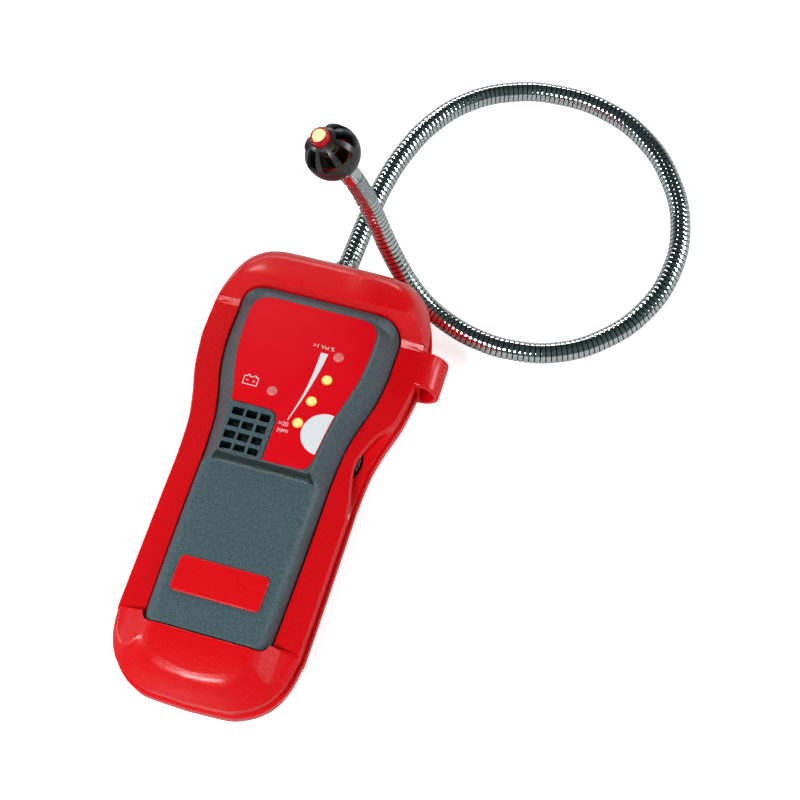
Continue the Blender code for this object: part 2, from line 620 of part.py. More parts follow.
# Raised white print: the round test sticker, the scale wedge, the battery sign.
PRINT_TOP = FILM_TOP_Z + 0.15 * MM
DISC = (20.7 * MM, 16.8 * MM, 9.6 * MM)
angles = np.radians(np.arange(0.0, -360.0, -15.0))
disc_line = np.stack([DISC[0] + DISC[2] * np.cos(angles), DISC[1] + DISC[2] * np.sin(angles)],
                     axis=1)
edge_x = np.interp(disc_line[:, 1], LABEL_HALF[::-1, 1], LABEL_HALF[::-1, 0]) - 0.25 * MM
disc_line[:, 0] = np.minimum(disc_line[:, 0], edge_x)
wedge_line = np.vstack([
    through(np.array([(11.0, 53.4), (9.9, 47.0), (8.4, 39.7), (6.3, 29.8), (4.4, 19.6)]), 2),
    through(np.array([(3.8, 19.6), (5.2, 27.0), (6.5, 34.5), (7.4, 43.5), (7.8, 53.4)]), 2),
]) * MM
for name, line in (("disc_print", disc_line), ("wedge_print", wedge_line)):
    ink = plate(name, line, FILM_TOP_Z - 0.3 * MM, PRINT_TOP, PRINT_WHITE, where=cutters)
    boolean(display_label, ink, "UNION")
SIGN = (-20.0 * MM, 30.5 * MM, -13.6 * MM, 34.6 * MM)
sign = plate("sign_print", rectangle(*SIGN, 0.3 * MM, 1), FILM_TOP_Z - 0.3 * MM, PRINT_TOP,
             PRINT_WHITE, where=cutters)
inside = box("sign_inside", (SIGN[0] + 0.5 * MM, SIGN[1] + 0.5 * MM, FILM_TOP_Z - 0.0),
             (SIGN[2] - 0.5 * MM, SIGN[3] - 0.5 * MM, 0.05), LABEL_RED, where=cutters)
boolean(display_label, sign, "UNION")
boolean(display_label, inside)

name_plate = plate("name_plate", rectangle(-19 * MM, -63.2 * MM, 19 * MM, -47.8 * MM, 2.2 * MM),
                   PAD_Z + GAP, PAD_Z + 1.1 * MM, RED)

# Inside: board, buzzer, controller chip, thumbwheel and its potentiometer.
circuit_board = plate("circuit_board", rectangle(-23.5 * MM, -58 * MM, 23.5 * MM, 74 * MM,
                                                 3 * MM, 2), BOARD_Z, BOARD_TOP, BOARD_GREEN)
shaft_bore = lathe("shaft_bore", [(0.0, 0.04), (1.2 * MM, 0.04), (1.2 * MM, 0.025),
                                  (0.0, 0.025)], 8, BOARD_GREEN,
                   frame=Matrix.Translation((20.0 * MM, 60.0 * MM, 0.0)), where=cutters)
boolean(circuit_board, shaft_bore)
buzzer = lathe("buzzer", [(0.0, 39.3 * MM), (1.2 * MM, 39.3 * MM), (1.2 * MM, 40.5 * MM),
                          (9.0 * MM, 40.5 * MM), (9.6 * MM, 39.9 * MM),
                          (9.6 * MM, BOARD_TOP + GAP), (0.0, BOARD_TOP + GAP)], 16, BLACK,
               frame=Matrix.Translation((-11.0 * MM, 9.4 * MM, 0.0)))
controller_chip = box("controller_chip", (-8 * MM, -34 * MM, BOARD_TOP + GAP),
                      (8 * MM, -22 * MM, BOARD_TOP + 3.2 * MM), BLACK, round_by=0.4 * MM)

knurl = 30
turns = np.radians(np.arange(0.0, -360.0, -180.0 / knurl))
reach = np.where(np.arange(2 * knurl) % 2 == 0, WHEEL_RADIUS, WHEEL_RADIUS - 0.6 * MM)
wheel_line = np.stack([reach * np.cos(turns), reach * np.sin(turns)], axis=1)
thumbwheel = plate("thumbwheel", wheel_line, WHEEL_LOW, WHEEL_HIGH, BLACK)
thumbwheel.data.transform(Matrix.Translation((0.0, 0.0, -WHEEL_LOW)))
thumbwheel.matrix_world = Matrix.Translation((WHEEL_X, WHEEL_Y, WHEEL_LOW))
wheel_bore = lathe("wheel_bore", [(0.0, 0.012), (SHAFT_RADIUS + GAP, 0.012),
                                  (SHAFT_RADIUS + GAP, -0.002), (0.0, -0.002)], 16, BLACK,
                   frame=thumbwheel.matrix_world.copy(), where=cutters)
boolean(thumbwheel, wheel_bore)
potentiometer = lathe("potentiometer",
                      [(0.0, BOARD_Z - GAP), (SHAFT_RADIUS, BOARD_Z - GAP),
                       (SHAFT_RADIUS, WHEEL_LOW - GAP), (6.0 * MM, WHEEL_LOW - GAP),
                       (6.0 * MM, WHEEL_LOW - 6.6 * MM), (0.0, WHEEL_LOW - 6.6 * MM)], 16,
                      STEEL, frame=Matrix.Translation((WHEEL_X, WHEEL_Y, 0.0)))

# Battery bay.
battery_tray = box("battery_tray", (-TRAY_HALF_X, BAY_Y - TRAY_HALF_Y, FLOOR + GAP),
                   (TRAY_HALF_X, BAY_Y + TRAY_HALF_Y, TRAY_TOP), BLACK)
tray_hollow = box("tray_hollow", (-TRAY_HALF_X + TRAY_WALL, BAY_Y - TRAY_HALF_Y + TRAY_WALL, 0.0),
                  (TRAY_HALF_X - TRAY_WALL, BAY_Y + TRAY_HALF_Y - TRAY_WALL,
                   TRAY_TOP - TRAY_WALL), BLACK, where=cutters)
boolean(battery_tray, tray_hollow)
for number in range(4):
    x = (number - 1.5) * CELL_PITCH
    turn = -math.pi / 2 if number % 2 else math.pi / 2
    frame = Matrix.Translation((x, BAY_Y, CELL_Z)) @ Matrix.Rotation(turn, 4, "X")
    half = CELL_LENGTH / 2.0
    lathe(f"cell_{number + 1}",
          [(0.0, half), (2.6 * MM, half), (2.6 * MM, half - 1.2 * MM),
           (CELL_RADIUS - 0.5 * MM, half - 1.2 * MM), (CELL_RADIUS, half - 1.7 * MM),
           (CELL_RADIUS, -half + 0.4 * MM), (CELL_RADIUS - 0.5 * MM, -half), (0.0, -half)],
          12, CELL_JACKET, frame=frame)
for name, side in (("contact_upper", 1.0), ("contact_lower", -1.0)):
    face = BAY_Y + side * (CELL_LENGTH / 2.0 + CELL_END_GAP)
    back = face + side * CONTACT_THICK
    box(name, (-TRAY_HALF_X + 3.0 * MM, min(face, back), CELL_Z - 4.5 * MM),
        (TRAY_HALF_X - 3.0 * MM, max(face, back), CELL_Z + 4.5 * MM), SPRING)

# Gland in the top end of the case, round the start of the gooseneck.
neck_gland = lathe("neck_gland",
                   [(3.0 * MM, GLAND_END), (GLAND_RADIUS - 0.1 * MM, GLAND_END),
                    (GLAND_RADIUS, GLAND_END - 2.4 * MM), (GLAND_RADIUS, GLAND_END - 11.8 * MM),
                    (8.0 * MM, GLAND_END - 11.8 * MM), (8.0 * MM, GLAND_END - 14.0 * MM),
                    (3.0 * MM, GLAND_END - 14.0 * MM)], 16, CHROME, frame=gland_frame, closed=True)

# The gooseneck: a ringed tube turned straight, then bent along its route.
head_frame = (Matrix.Translation(HEAD_CENTRE)
              @ HEAD_AXIS.to_track_quat("Z", "X").to_matrix().to_4x4())
NECK_ROUTE = [
    (0.4, 124.0, 20.3), (1.0, 139.8, 20.0), (2.6, 158.5, 19.9),
    (6.6, 176.6, 20.5), (14.5, 195.8, 21.0), (27.4, 213.0, 20.5), (46.7, 225.8, 18.9),
    (69.0, 230.9, 17.5), (91.8, 228.4, 16.8), (113.0, 217.4, 16.5), (129.6, 198.9, 15.7),
    (139.5, 176.5, 13.7), (140.6, 152.9, 10.6), (133.2, 131.5, 7.2), (119.2, 114.3, 5.4),
    (101.0, 102.1, 5.4), (80.1, 97.2, 6.0), (64.0, 98.4, 6.1), (50.3, 102.3, 6.6),
    (38.4, 106.9, 10.0), (29.6, 111.0, 16.6), (22.8, 114.9, 25.4), (16.9, 118.7, 35.0),
    (12.0, 121.6, 46.4), (7.4, 122.3, 61.6)]
neck_end = HEAD_CENTRE + HEAD_AXIS * (SLEEVE_END - GAP)
route_line = bpy.data.curves.new("neck_route", "CURVE")
route_line.dimensions = "3D"
route_line.resolution_u = 6
route_line.render_resolution_u = 6
route_line.twist_mode = "MINIMUM"
neck_start = Vector((0.0, GLAND_END + 0.4 * MM, GLAND_Z))
stops = [neck_start] + [Vector(point) * MM for point in NECK_ROUTE] + [neck_end]
spline = route_line.splines.new("BEZIER")
spline.bezier_points.add(len(stops) - 1)
for point, stop in zip(spline.bezier_points, stops):
    point.co = stop
    point.handle_left_type = "AUTO"
    point.handle_right_type = "AUTO"
neck_route = bpy.data.objects.new("neck_route", route_line)
cutters.objects.link(neck_route)
neck_route.hide_render = True
bpy.context.view_layer.update()
trace = bpy.data.meshes.new_from_object(neck_route)
steps = [trace.vertices[a].co - trace.vertices[b].co for a, b in
         (edge.vertices for edge in trace.edges)]
neck_length = sum(step.length for step in steps)
bpy.data.meshes.remove(trace)
rings = round(neck_length / NECK_PITCH)
pitch = neck_length / rings
neck_profile = [(0.0, neck_length)]
for ring in range(rings, 0, -1):
    neck_profile.append((NECK_RADIUS - NECK_GROOVE, (ring - 0.02) * pitch))
    neck_profile.append((NECK_RADIUS, (ring - 0.55) * pitch))
neck_profile += [(NECK_RADIUS - NECK_GROOVE, 0.0), (0.0, 0.0)]
gooseneck = lathe("gooseneck", neck_profile, NECK_SIDES, CHROME)
fixed_mesh(gooseneck)
bend = gooseneck.modifiers.new("bend", "CURVE")
bend.object = neck_route
bend.deform_axis = "POS_Z"

# The sensor head, built about its own Z axis with the light on top.
head_sleeve = lathe("head_sleeve",
                    [(2.4 * MM, SLEEVE_START), (5.3 * MM, SLEEVE_START), (5.4 * MM, -11.4 * MM),
                     (4.9 * MM, -16.0 * MM), (4.5 * MM, SLEEVE_END), (2.4 * MM, SLEEVE_END)], 16,
                    CHROME, frame=head_frame, closed=True)
COLLAR_RADIUS = 4.1 * MM
COLLAR_TOP = 13.9 * MM
first = math.asin((COLLAR_RADIUS + GAP) / HEAD_RADIUS)
last = math.pi - math.asin(5.8 * MM / HEAD_RADIUS)
skin = [(HEAD_RADIUS * math.sin(a), HEAD_RADIUS * math.cos(a))
        for a in np.linspace(first, last, 9)]
inner_radius = HEAD_RADIUS - CAGE_WALL
inner_first = math.asin((COLLAR_RADIUS + GAP) / inner_radius)
inner_last = math.pi - math.asin(5.8 * MM / inner_radius)
lining = [(inner_radius * math.sin(a), inner_radius * math.cos(a))
          for a in np.linspace(inner_last, inner_first, 7)]
head_cage = lathe("head_cage", skin + lining, 24, BLACK, frame=head_frame, closed=True)
window_low, window_high = 2.2 * MM, 8.9 * MM
for number in range(CAGE_RIBS):
    window = box(f"window_{number}", (5.0 * MM, -1.0, window_low), (0.014, 1.0, window_high),
                 BLACK, where=cutters)
    for vertex in window.data.vertices:
        half = vertex.co.x * math.tan(math.radians(13.0)) if vertex.co.z < 0.005 else \
            vertex.co.x * math.tan(math.radians(11.0))
        vertex.co.y = math.copysign(half, vertex.co.y)
    turn = Matrix.Rotation(2.0 * math.pi * (number + 0.5) / CAGE_RIBS, 4, "Z")
    window.matrix_world = head_frame @ turn
    boolean(head_cage, window)
smooth(head_cage, 35.0)
led_collar = lathe("led_collar",
                   [(HEAD_LED_RADIUS + GAP, COLLAR_TOP), (COLLAR_RADIUS - 0.3 * MM, COLLAR_TOP),
                    (COLLAR_RADIUS, COLLAR_TOP - 0.5 * MM), (COLLAR_RADIUS, 8.4 * MM),
                    (HEAD_LED_RADIUS + GAP, 8.4 * MM)], 16, RED_CLEAR, frame=head_frame,
                   closed=True)
head_led = lathe("head_led",
                 [(0.0, COLLAR_TOP + 1.7 * MM), (1.5 * MM, COLLAR_TOP + 1.3 * MM),
                  (2.5 * MM, COLLAR_TOP + 0.3 * MM), (HEAD_LED_RADIUS, COLLAR_TOP - 1.0 * MM),
                  (HEAD_LED_RADIUS, 6.6 * MM), (0.0, 6.6 * MM)], 12, LENS_LIT,
                 frame=head_frame)
gas_sensor = lathe("gas_sensor",
                   [(0.0, 4.6 * MM), (3.2 * MM, 4.6 * MM), (3.4 * MM, 3.6 * MM),
                    (4.6 * MM, 3.6 * MM), (4.6 * MM, -4.6 * MM), (0.0, -4.6 * MM)], 16,
                   STEEL, frame=head_frame)
sensor_base = lathe("sensor_base",
                    [(0.0, -4.9 * MM), (6.9 * MM, -4.9 * MM), (6.9 * MM, -5.5 * MM),
                     (0.0, -5.5 * MM)], 16, BOARD_GREEN, frame=head_frame)
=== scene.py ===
# %% [markdown]
# # A gas leak detector, dressed for its photograph
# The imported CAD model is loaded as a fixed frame: every node is already in its
# place. This lesson adds a camera, a studio and the visible surfaces, and hangs
# each of them on the body of the frame that carries it.

import math

import bmesh
import bpy
import numpy as np
from mathutils import Matrix, Vector


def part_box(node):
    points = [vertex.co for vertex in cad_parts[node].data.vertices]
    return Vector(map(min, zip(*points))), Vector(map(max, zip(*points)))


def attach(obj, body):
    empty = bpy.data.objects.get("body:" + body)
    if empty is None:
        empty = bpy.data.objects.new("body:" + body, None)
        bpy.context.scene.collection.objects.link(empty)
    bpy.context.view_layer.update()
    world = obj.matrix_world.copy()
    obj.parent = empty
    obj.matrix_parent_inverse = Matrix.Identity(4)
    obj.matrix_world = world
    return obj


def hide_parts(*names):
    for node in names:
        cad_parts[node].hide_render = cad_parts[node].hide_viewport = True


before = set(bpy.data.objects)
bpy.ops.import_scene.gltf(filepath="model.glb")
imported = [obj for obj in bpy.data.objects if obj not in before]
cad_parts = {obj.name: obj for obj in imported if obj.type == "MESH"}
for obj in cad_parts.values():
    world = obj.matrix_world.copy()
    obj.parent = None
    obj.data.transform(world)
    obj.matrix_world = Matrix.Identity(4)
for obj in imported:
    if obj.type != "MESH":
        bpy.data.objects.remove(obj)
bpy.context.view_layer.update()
scene = bpy.context.scene
scene.view_settings.view_transform = "Standard"
MM = 0.001

# %% [markdown]
# ## Camera
# The photograph looks down on the detector from its foot end, a little from the
# right. The camera stands 0.74 m away, so the head of the probe, which is nearer,
# looks a little larger. Its three axes are written as unit vectors, because the
# picture is also rolled by a few degrees. A small helper puts it, and every object
# after it, into the scene.

# %% Camera
CAMERA_PLACE = (0.1562, -0.2538, 0.6735)
CAMERA_RIGHT = (0.9571, 0.2881, -0.0319)
CAMERA_UP = (-0.2442, 0.8608, 0.4466)
CAMERA_BACK = (0.1561, -0.4197, 0.8942)


def placed(name, data):
    """A new object in the scene that holds a mesh, a curve, a lamp or a camera."""
    made = bpy.data.objects.new(name, data)
    scene.collection.objects.link(made)
    return made


lens = bpy.data.cameras.new("camera")
lens.sensor_width = 36.0
lens.lens = 75.6
camera = placed("camera", lens)
camera.matrix_world = Matrix(
    [(*row, place) for row, place in zip(zip(CAMERA_RIGHT, CAMERA_UP, CAMERA_BACK), CAMERA_PLACE)]
    + [(0.0, 0.0, 0.0, 1.0)])
scene.camera = camera
print("camera at", CAMERA_PLACE)

# %% [markdown]
# ## Studio
# A product shot on white: a large pale floor that catches a soft shadow, and six
# lamps round the object. The floor is lifted to white for the camera only, and is
# greyer in reflections, so the glossy red doesn't turn milky. The world is dark
# and greenish overhead and pale near the horizon, most of all on the right. The
# chrome of the gooseneck needs that dark part, or it would look like white
# plastic. One helper adds a node, its settings and its inputs in a line.

# %% Floor
def add_node(tree, kind, inputs=None, **settings):
    """A new shader node; each of its inputs is given a value or another node's socket."""
    made = tree.nodes.new("ShaderNode" + kind)
    for name, value in settings.items():
        setattr(made, name, value)
    for name, value in (inputs or {}).items():
        if isinstance(value, bpy.types.NodeSocket):
            tree.links.new(value, made.inputs[name])
        else:
            made.inputs[name].default_value = value
    return made


FLOOR_HALF = 3.0
FLOOR_DROP = 0.4 * MM
floor_mesh = bpy.data.meshes.new("floor")
floor_mesh.from_pydata([(-FLOOR_HALF, -FLOOR_HALF, 0.0), (FLOOR_HALF, -FLOOR_HALF, 0.0),
                        (FLOOR_HALF, FLOOR_HALF, 0.0), (-FLOOR_HALF, FLOOR_HALF, 0.0)],
                       [], [(0, 1, 2, 3)])
floor = placed("floor", floor_mesh)
floor.location.z = -FLOOR_DROP
paper = bpy.data.materials.new("studio_paper")
paper.use_nodes = True
tree = paper.node_tree
shader = tree.nodes["Principled BSDF"]
shader.inputs["Roughness"].default_value = 0.9
shader.inputs["Specular IOR Level"].default_value = 0.0
path = add_node(tree, "LightPath").outputs
tint = add_node(tree, "Mix", {"Factor": path["Is Glossy Ray"], 6: (0.93, 0.93, 0.93, 1.0),
                              7: (0.56, 0.58, 0.58, 1.0)}, data_type="RGBA")
tree.links.new(tint.outputs[2], shader.inputs["Base Color"])
glow = add_node(tree, "Emission", {"Strength": 0.74})
both = add_node(tree, "AddShader", {0: shader.outputs[0], 1: glow.outputs[0]})
pick = add_node(tree, "MixShader", {0: path["Is Camera Ray"], 1: shader.outputs[0],
                                    2: both.outputs[0]})
tree.links.new(pick.outputs[0], tree.nodes["Material Output"].inputs["Surface"])
floor_mesh.materials.append(paper)
print("floor", 2 * FLOOR_HALF, "m wide")

# %% World and lamps
world = bpy.data.worlds.new("studio")
scene.world = world
world.use_nodes = True
tree = world.node_tree
tree.nodes.clear()
where = add_node(tree, "TexCoord").outputs["Generated"]
split = add_node(tree, "SeparateXYZ", {0: where})
climb = add_node(tree, "ValToRGB", {0: split.outputs["Z"]})
horizon, overhead = climb.color_ramp.elements
horizon.position = 0.0
horizon.color = (0.62, 0.64, 0.64, 1.0)
overhead.position = 0.40
overhead.color = (0.07, 0.10, 0.10, 1.0)
climb.color_ramp.elements.new(0.20).color = (0.42, 0.44, 0.44, 1.0)
aim = add_node(tree, "VectorMath", {0: where, 1: (0.75, -0.66, 0.0)}, operation="DOT_PRODUCT")
dim = add_node(tree, "MapRange", {"Value": aim.outputs["Value"], "From Min": -0.4,
                                  "From Max": 0.5, "To Min": 0.35})
room = add_node(tree, "Background", {"Color": climb.outputs[0], "Strength": dim.outputs["Result"]})
white = add_node(tree, "Background")
path = add_node(tree, "LightPath").outputs
pick = add_node(tree, "MixShader", {0: path["Is Camera Ray"], 1: room.outputs[0],
                                    2: white.outputs[0]})
add_node(tree, "OutputWorld", {"Surface": pick.outputs[0]})

CENTRE = Vector((0.04, 0.04, 0.03))


def lamp(name, place, size, power):
    """An area lamp that faces the object."""
    data = bpy.data.lights.new(name, "AREA")
    data.shape = "RECTANGLE"
    data.size, data.size_y = size
    data.energy = power
    made = placed(name, data)
    made.location = place
    made.rotation_euler = (CENTRE - Vector(place)).to_track_quat("-Z", "Y").to_euler()


lamp("foot_light", (-0.12, -0.54, 0.76), (0.32, 0.22), 5.8)
lamp("back_light", (-0.30, 0.95, 0.36), (0.9, 0.14), 2.2)
lamp("left_light", (-0.85, -0.05, 0.42), (0.16, 0.16), 2.0)
lamp("right_light", (0.84, 0.44, 0.48), (0.36, 0.30), 3.2)
lamp("loop_right", (0.55, 0.62, 0.72), (0.10, 0.10), 0.6)
lamp("loop_left", (-0.42, 0.68, 0.74), (0.10, 0.10), 0.6)

# %% [markdown]
# ## Finishes
# Moulded plastic has a fine spark-eroded grain that breaks up its gloss, and its
# colour drifts a little over the part. Both effects are node groups, so each
# material sets its own scale and strength. The constants that don't vary over the
# surface stay on the shader's own sockets.

# %% Node groups
def new_group(name, inputs, outputs):
    """An empty group with named sockets: its tree, what it is given, what it gives."""
    group = bpy.data.node_groups.new(name, "ShaderNodeTree")
    for label, value in inputs.items():
        kind = "NodeSocketColor" if isinstance(value, tuple) else "NodeSocketFloat"
        made = group.interface.new_socket(name=label, in_out="INPUT", socket_type=kind)
        made.default_value = value
    for label, kind in outputs.items():
        group.interface.new_socket(name=label, in_out="OUTPUT", socket_type="NodeSocket" + kind)
    given = group.nodes.new("NodeGroupInput").outputs
    return group, given, group.nodes.new("NodeGroupOutput").inputs


# Fine noise makes a height for Bump, and broad noise moves the roughness a little.
GRAIN, given, result = new_group("moulded_grain",
                                 {"Scale": 2500.0, "Roughness": 0.35, "Spread": 0.08},
                                 {"Height": "Float", "Roughness": "Float"})
place = add_node(GRAIN, "TexCoord").outputs["Object"]
fine = add_node(GRAIN, "TexNoise", {"Vector": place, "Scale": given["Scale"], "Detail": 3.0})
broad = add_node(GRAIN, "TexNoise", {"Vector": place, "Scale": 60.0})
centred = add_node(GRAIN, "Math", {0: broad.outputs["Fac"], 1: 0.5}, operation="SUBTRACT")
swing = add_node(GRAIN, "Math", {0: centred.outputs[0], 1: given["Spread"],
                                 2: given["Roughness"]}, operation="MULTIPLY_ADD")
GRAIN.links.new(fine.outputs["Fac"], result["Height"])
GRAIN.links.new(swing.outputs[0], result["Roughness"])

# A colour that drifts between two close tones over the part.
DRIFT, given, result = new_group("tone_drift",
                                 {"Light": (1.0, 1.0, 1.0, 1.0), "Dark": (0.0, 0.0, 0.0, 1.0),
                                  "Scale": 30.0}, {"Color": "Color"})
place = add_node(DRIFT, "TexCoord").outputs["Object"]
cloud = add_node(DRIFT, "TexNoise", {"Vector": place, "Scale": given["Scale"], "Detail": 4.0})
blend = add_node(DRIFT, "Mix", {"Factor": cloud.outputs["Fac"], 6: given["Dark"],
                                7: given["Light"]}, data_type="RGBA")
DRIFT.links.new(blend.outputs[2], result["Color"])


def finish(name, light, dark, rough, grain=(2500.0, 0.00002), metal=0.0, coat=0.0, drift=30.0,
           spread=0.08, glow=0.0, shine=0.5):
    """A material from the two groups; light and dark are its two close tones."""
    made = bpy.data.materials.new(name)
    made.use_nodes = True
    tree = made.node_tree
    shader = tree.nodes["Principled BSDF"].inputs
    shader["Metallic"].default_value = metal
    shader["Specular IOR Level"].default_value = shine
    shader["Coat Weight"].default_value = coat
    shader["Coat Roughness"].default_value = 0.18
    tone = add_node(tree, "Group", node_tree=DRIFT)
    tone.inputs["Light"].default_value = (*light, 1.0)
    tone.inputs["Dark"].default_value = (*dark, 1.0)
    tone.inputs["Scale"].default_value = drift
    tree.links.new(tone.outputs["Color"], shader["Base Color"])
    texture = add_node(tree, "Group", {"Scale": grain[0], "Roughness": rough, "Spread": spread},
                       node_tree=GRAIN)
    tree.links.new(texture.outputs["Roughness"], shader["Roughness"])
    bump = add_node(tree, "Bump", {"Strength": 1.0, "Distance": grain[1],
                                   "Height": texture.outputs["Height"]})
    tree.links.new(bump.outputs["Normal"], shader["Normal"])
    if glow:
        tree.links.new(tone.outputs["Color"], shader["Emission Color"])
        shader["Emission Strength"].default_value = glow
    return made


# %% Finishes
CASE_RED = finish("case_red", (0.92, 0.004, 0.010), (0.64, 0.0, 0.002), 0.34,
                  (1000.0, 0.00013), coat=0.40, drift=1000.0, shine=0.25)
LABEL_RED = finish("label_red", (0.80, 0.0, 0.008), (0.76, 0.0, 0.006), 0.42,
                   (2200.0, 0.00002), shine=0.2)
PANEL_GREY = finish("panel_grey", (0.125, 0.195, 0.215), (0.004, 0.022, 0.032), 0.44,
                    (1000.0, 0.00020), drift=1000.0, shine=0.40)
PRINT_WHITE = finish("print_white", (0.84, 0.87, 0.90), (0.80, 0.83, 0.87), 0.45,
                     (2500.0, 0.00001))
BLACK = finish("black_moulded", (0.020, 0.022, 0.024), (0.012, 0.013, 0.015), 0.38,
               (2000.0, 0.00003), coat=0.35)
CHROME = finish("chrome_plate", (0.84, 0.88, 0.87), (0.76, 0.81, 0.80), 0.12,
                (900.0, 0.000004), metal=1.0, spread=0.06)
HOSE_CHROME = finish("hose_chrome", (0.84, 0.88, 0.87), (0.76, 0.81, 0.80), 0.10,
                     (900.0, 0.000004), metal=1.0, spread=0.04)
STEEL = finish("zinc_steel", (0.55, 0.55, 0.54), (0.45, 0.45, 0.44), 0.32,
               (1200.0, 0.00001), metal=1.0)
SMOKED = finish("sensor_cap", (0.10, 0.085, 0.08), (0.07, 0.06, 0.055), 0.38, metal=1.0)
BOARD_GREEN = finish("board_lacquer", (0.020, 0.16, 0.06), (0.012, 0.11, 0.045), 0.40,
                     (800.0, 0.00002), coat=0.3)
JACKET = finish("cell_sleeve", (0.05, 0.10, 0.26), (0.04, 0.08, 0.20), 0.30, coat=0.3)
LENS_OFF = finish("lens_unlit", (0.80, 0.20, 0.18), (0.76, 0.16, 0.15), 0.30)
# Its weak glow is painted light: an emission that stands in for the head lamp's light in the clear
# red parts.
RED_CLEAR = finish("red_clear", (0.44, 0.003, 0.010), (0.38, 0.002, 0.008), 0.30, coat=0.2,
                   glow=0.12)
PROBE_BOARD = finish("probe_board", (0.020, 0.045, 0.030), (0.012, 0.025, 0.018), 0.40)


# %% Finishes that read an attribute
def by_attribute(tree, attribute, low, high):
    """A colour that goes from low to high as an attribute of the mesh goes from 0 to 1."""
    mask = add_node(tree, "Attribute", attribute_name=attribute)
    return add_node(tree, "Mix", {"Factor": mask.outputs["Fac"], 6: low, 7: (*high, 1.0)},
                    data_type="RGBA").outputs[2]


# Painted shade: the base colour is darkened towards these tones in the hose's grooves, and in the
# panel's slots and on its step.
for made, attribute, tone in ((HOSE_CHROME, "groove", (0.02, 0.03, 0.03)),
                              (PANEL_GREY, "shade", (0.004, 0.014, 0.013))):
    colour = made.node_tree.nodes["Principled BSDF"].inputs["Base Color"]
    plain = colour.links[0].from_socket
    made.node_tree.links.new(by_attribute(made.node_tree, attribute, plain, tone), colour)


def lit_lens(name, core, rim, glow):
    """A lit lens: pale in the middle and deeper where the rim attribute is 1."""
    base = tuple(0.3 * part for part in rim)
    made = finish(name, base, base, 0.22)
    shader = made.node_tree.nodes["Principled BSDF"].inputs
    shine = by_attribute(made.node_tree, "rim", (*core, 1.0), rim)
    made.node_tree.links.new(shine, shader["Emission Color"])
    shader["Emission Strength"].default_value = glow
    return made


def mark(piece, attribute, values, domain="POINT"):
    """Write one number for each point or face of a piece, which its finish reads."""
    layer = piece.data.attributes.new(attribute, "FLOAT", domain)
    layer.data.foreach_set("value", values)


def mark_rim(piece, centre, radius):
    """Write the rim attribute: 0 at the lens's middle, 1 at its edge, by the square."""
    points = np.array([point.co[:] for point in piece.data.vertices])
    share = np.linalg.norm(points - np.array(centre), axis=1) / radius
    mark(piece, "rim", np.clip(share, 0.0, 1.0) ** 2)


LENS_LIT = lit_lens("lens_lit", (0.98, 0.95, 0.40), (0.72, 0.38, 0.004), 1.0)
LENS_HEAD = lit_lens("lens_head", (0.92, 0.90, 0.36), (0.92, 0.90, 0.62), 1.0)
print("finishes:", len(bpy.data.materials))

# %% [markdown]
# ## Helpers for surfaces
# Each shape below is an array of points with two directions: round the piece and
# along it. One helper puts such a grid into a mesh. Others carry a profile round
# an axis, draw a smooth line through a few key points and cut one piece with
# another.

# %% Smooth lines
def through(keys, per):
    """Rows on a smooth line through the key rows (a Catmull-Rom cubic on each span)."""
    keys = np.asarray(keys, float)
    ends = np.vstack([2.0 * keys[0] - keys[1], keys, 2.0 * keys[-1] - keys[-2]])
    t = (np.arange(per) / per)[None, :, None]
    a, b, c, d = (ends[i:len(ends) - 3 + i][:, None, :] for i in range(4))
    rows = 0.5 * (2 * b + (c - a) * t + (2 * a - 5 * b + 4 * c - d) * t**2
                  + (3 * b - a - 3 * c + d) * t**3)
    return np.vstack([rows.reshape(-1, keys.shape[1]), keys[-1:]])


def eased(keys, per):
    """Rows through key rows that may be unevenly spaced: a cubic on each span whose
    slopes are the harmonic means of its neighbours, so it never swings past a key."""
    keys = np.asarray(keys, float)
    steps = np.linalg.norm(np.diff(keys[:, :2], axis=0), axis=1)[:, None]
    slope = np.diff(keys, axis=0) / steps
    same = slope[:-1] * slope[1:] > 0.0
    mean = np.where(same, 2.0 * slope[:-1] * slope[1:] / np.where(same, slope[:-1] + slope[1:], 1.0),
                    0.0)
    slopes = np.vstack([slope[:1], mean, slope[-1:]])
    t = (np.arange(per) / per)[None, :, None]
    a, b = keys[:-1, None], keys[1:, None]
    p, q = (slopes[:-1] * steps)[:, None], (slopes[1:] * steps)[:, None]
    rows = ((2 * t**3 - 3 * t**2 + 1) * a + (t**3 - 2 * t**2 + t) * p
            + (3 * t**2 - 2 * t**3) * b + (t**3 - t**2) * q)
    return np.vstack([rows.reshape(-1, keys.shape[1]), keys[-1:]])


def mirrored(half, columns=(0,)):
    """Close a right-hand line (top centre to bottom centre) round the left."""
    left = half[-2:0:-1].copy()
    left[:, columns] *= -1.0
    return np.vstack([half, left])


def outward(line):
    """Unit normals of a clockwise closed line."""
    side = np.roll(line, -1, axis=0) - np.roll(line, 1, axis=0)
    side /= np.linalg.norm(side, axis=1)[:, None]
    return np.stack([-side[:, 1], side[:, 0]], axis=1)


# %% Meshes
def dress(piece, material, body, replaced=()):
    """Give a piece its finish, its body and the CAD nodes it stands for."""
    piece.data.materials.append(material)
    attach(piece, body)
    if replaced:
        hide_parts(*replaced)
    return piece


def smooth(mesh, angle):
    """Shade a mesh smooth, but sharp where it bends by more than the angle."""
    mesh.shade_smooth()
    mesh.set_sharp_from_angle(angle=math.radians(angle))


def tidy(mesh, angle=40.0, merge=0.0):
    """Merge doubles, point the faces outward and shade smooth up to an angle."""
    form = bmesh.new()
    form.from_mesh(mesh)
    if merge:
        bmesh.ops.remove_doubles(form, verts=form.verts, dist=merge)
    bmesh.ops.recalc_face_normals(form, faces=form.faces)
    form.to_mesh(mesh)
    form.free()
    smooth(mesh, angle)


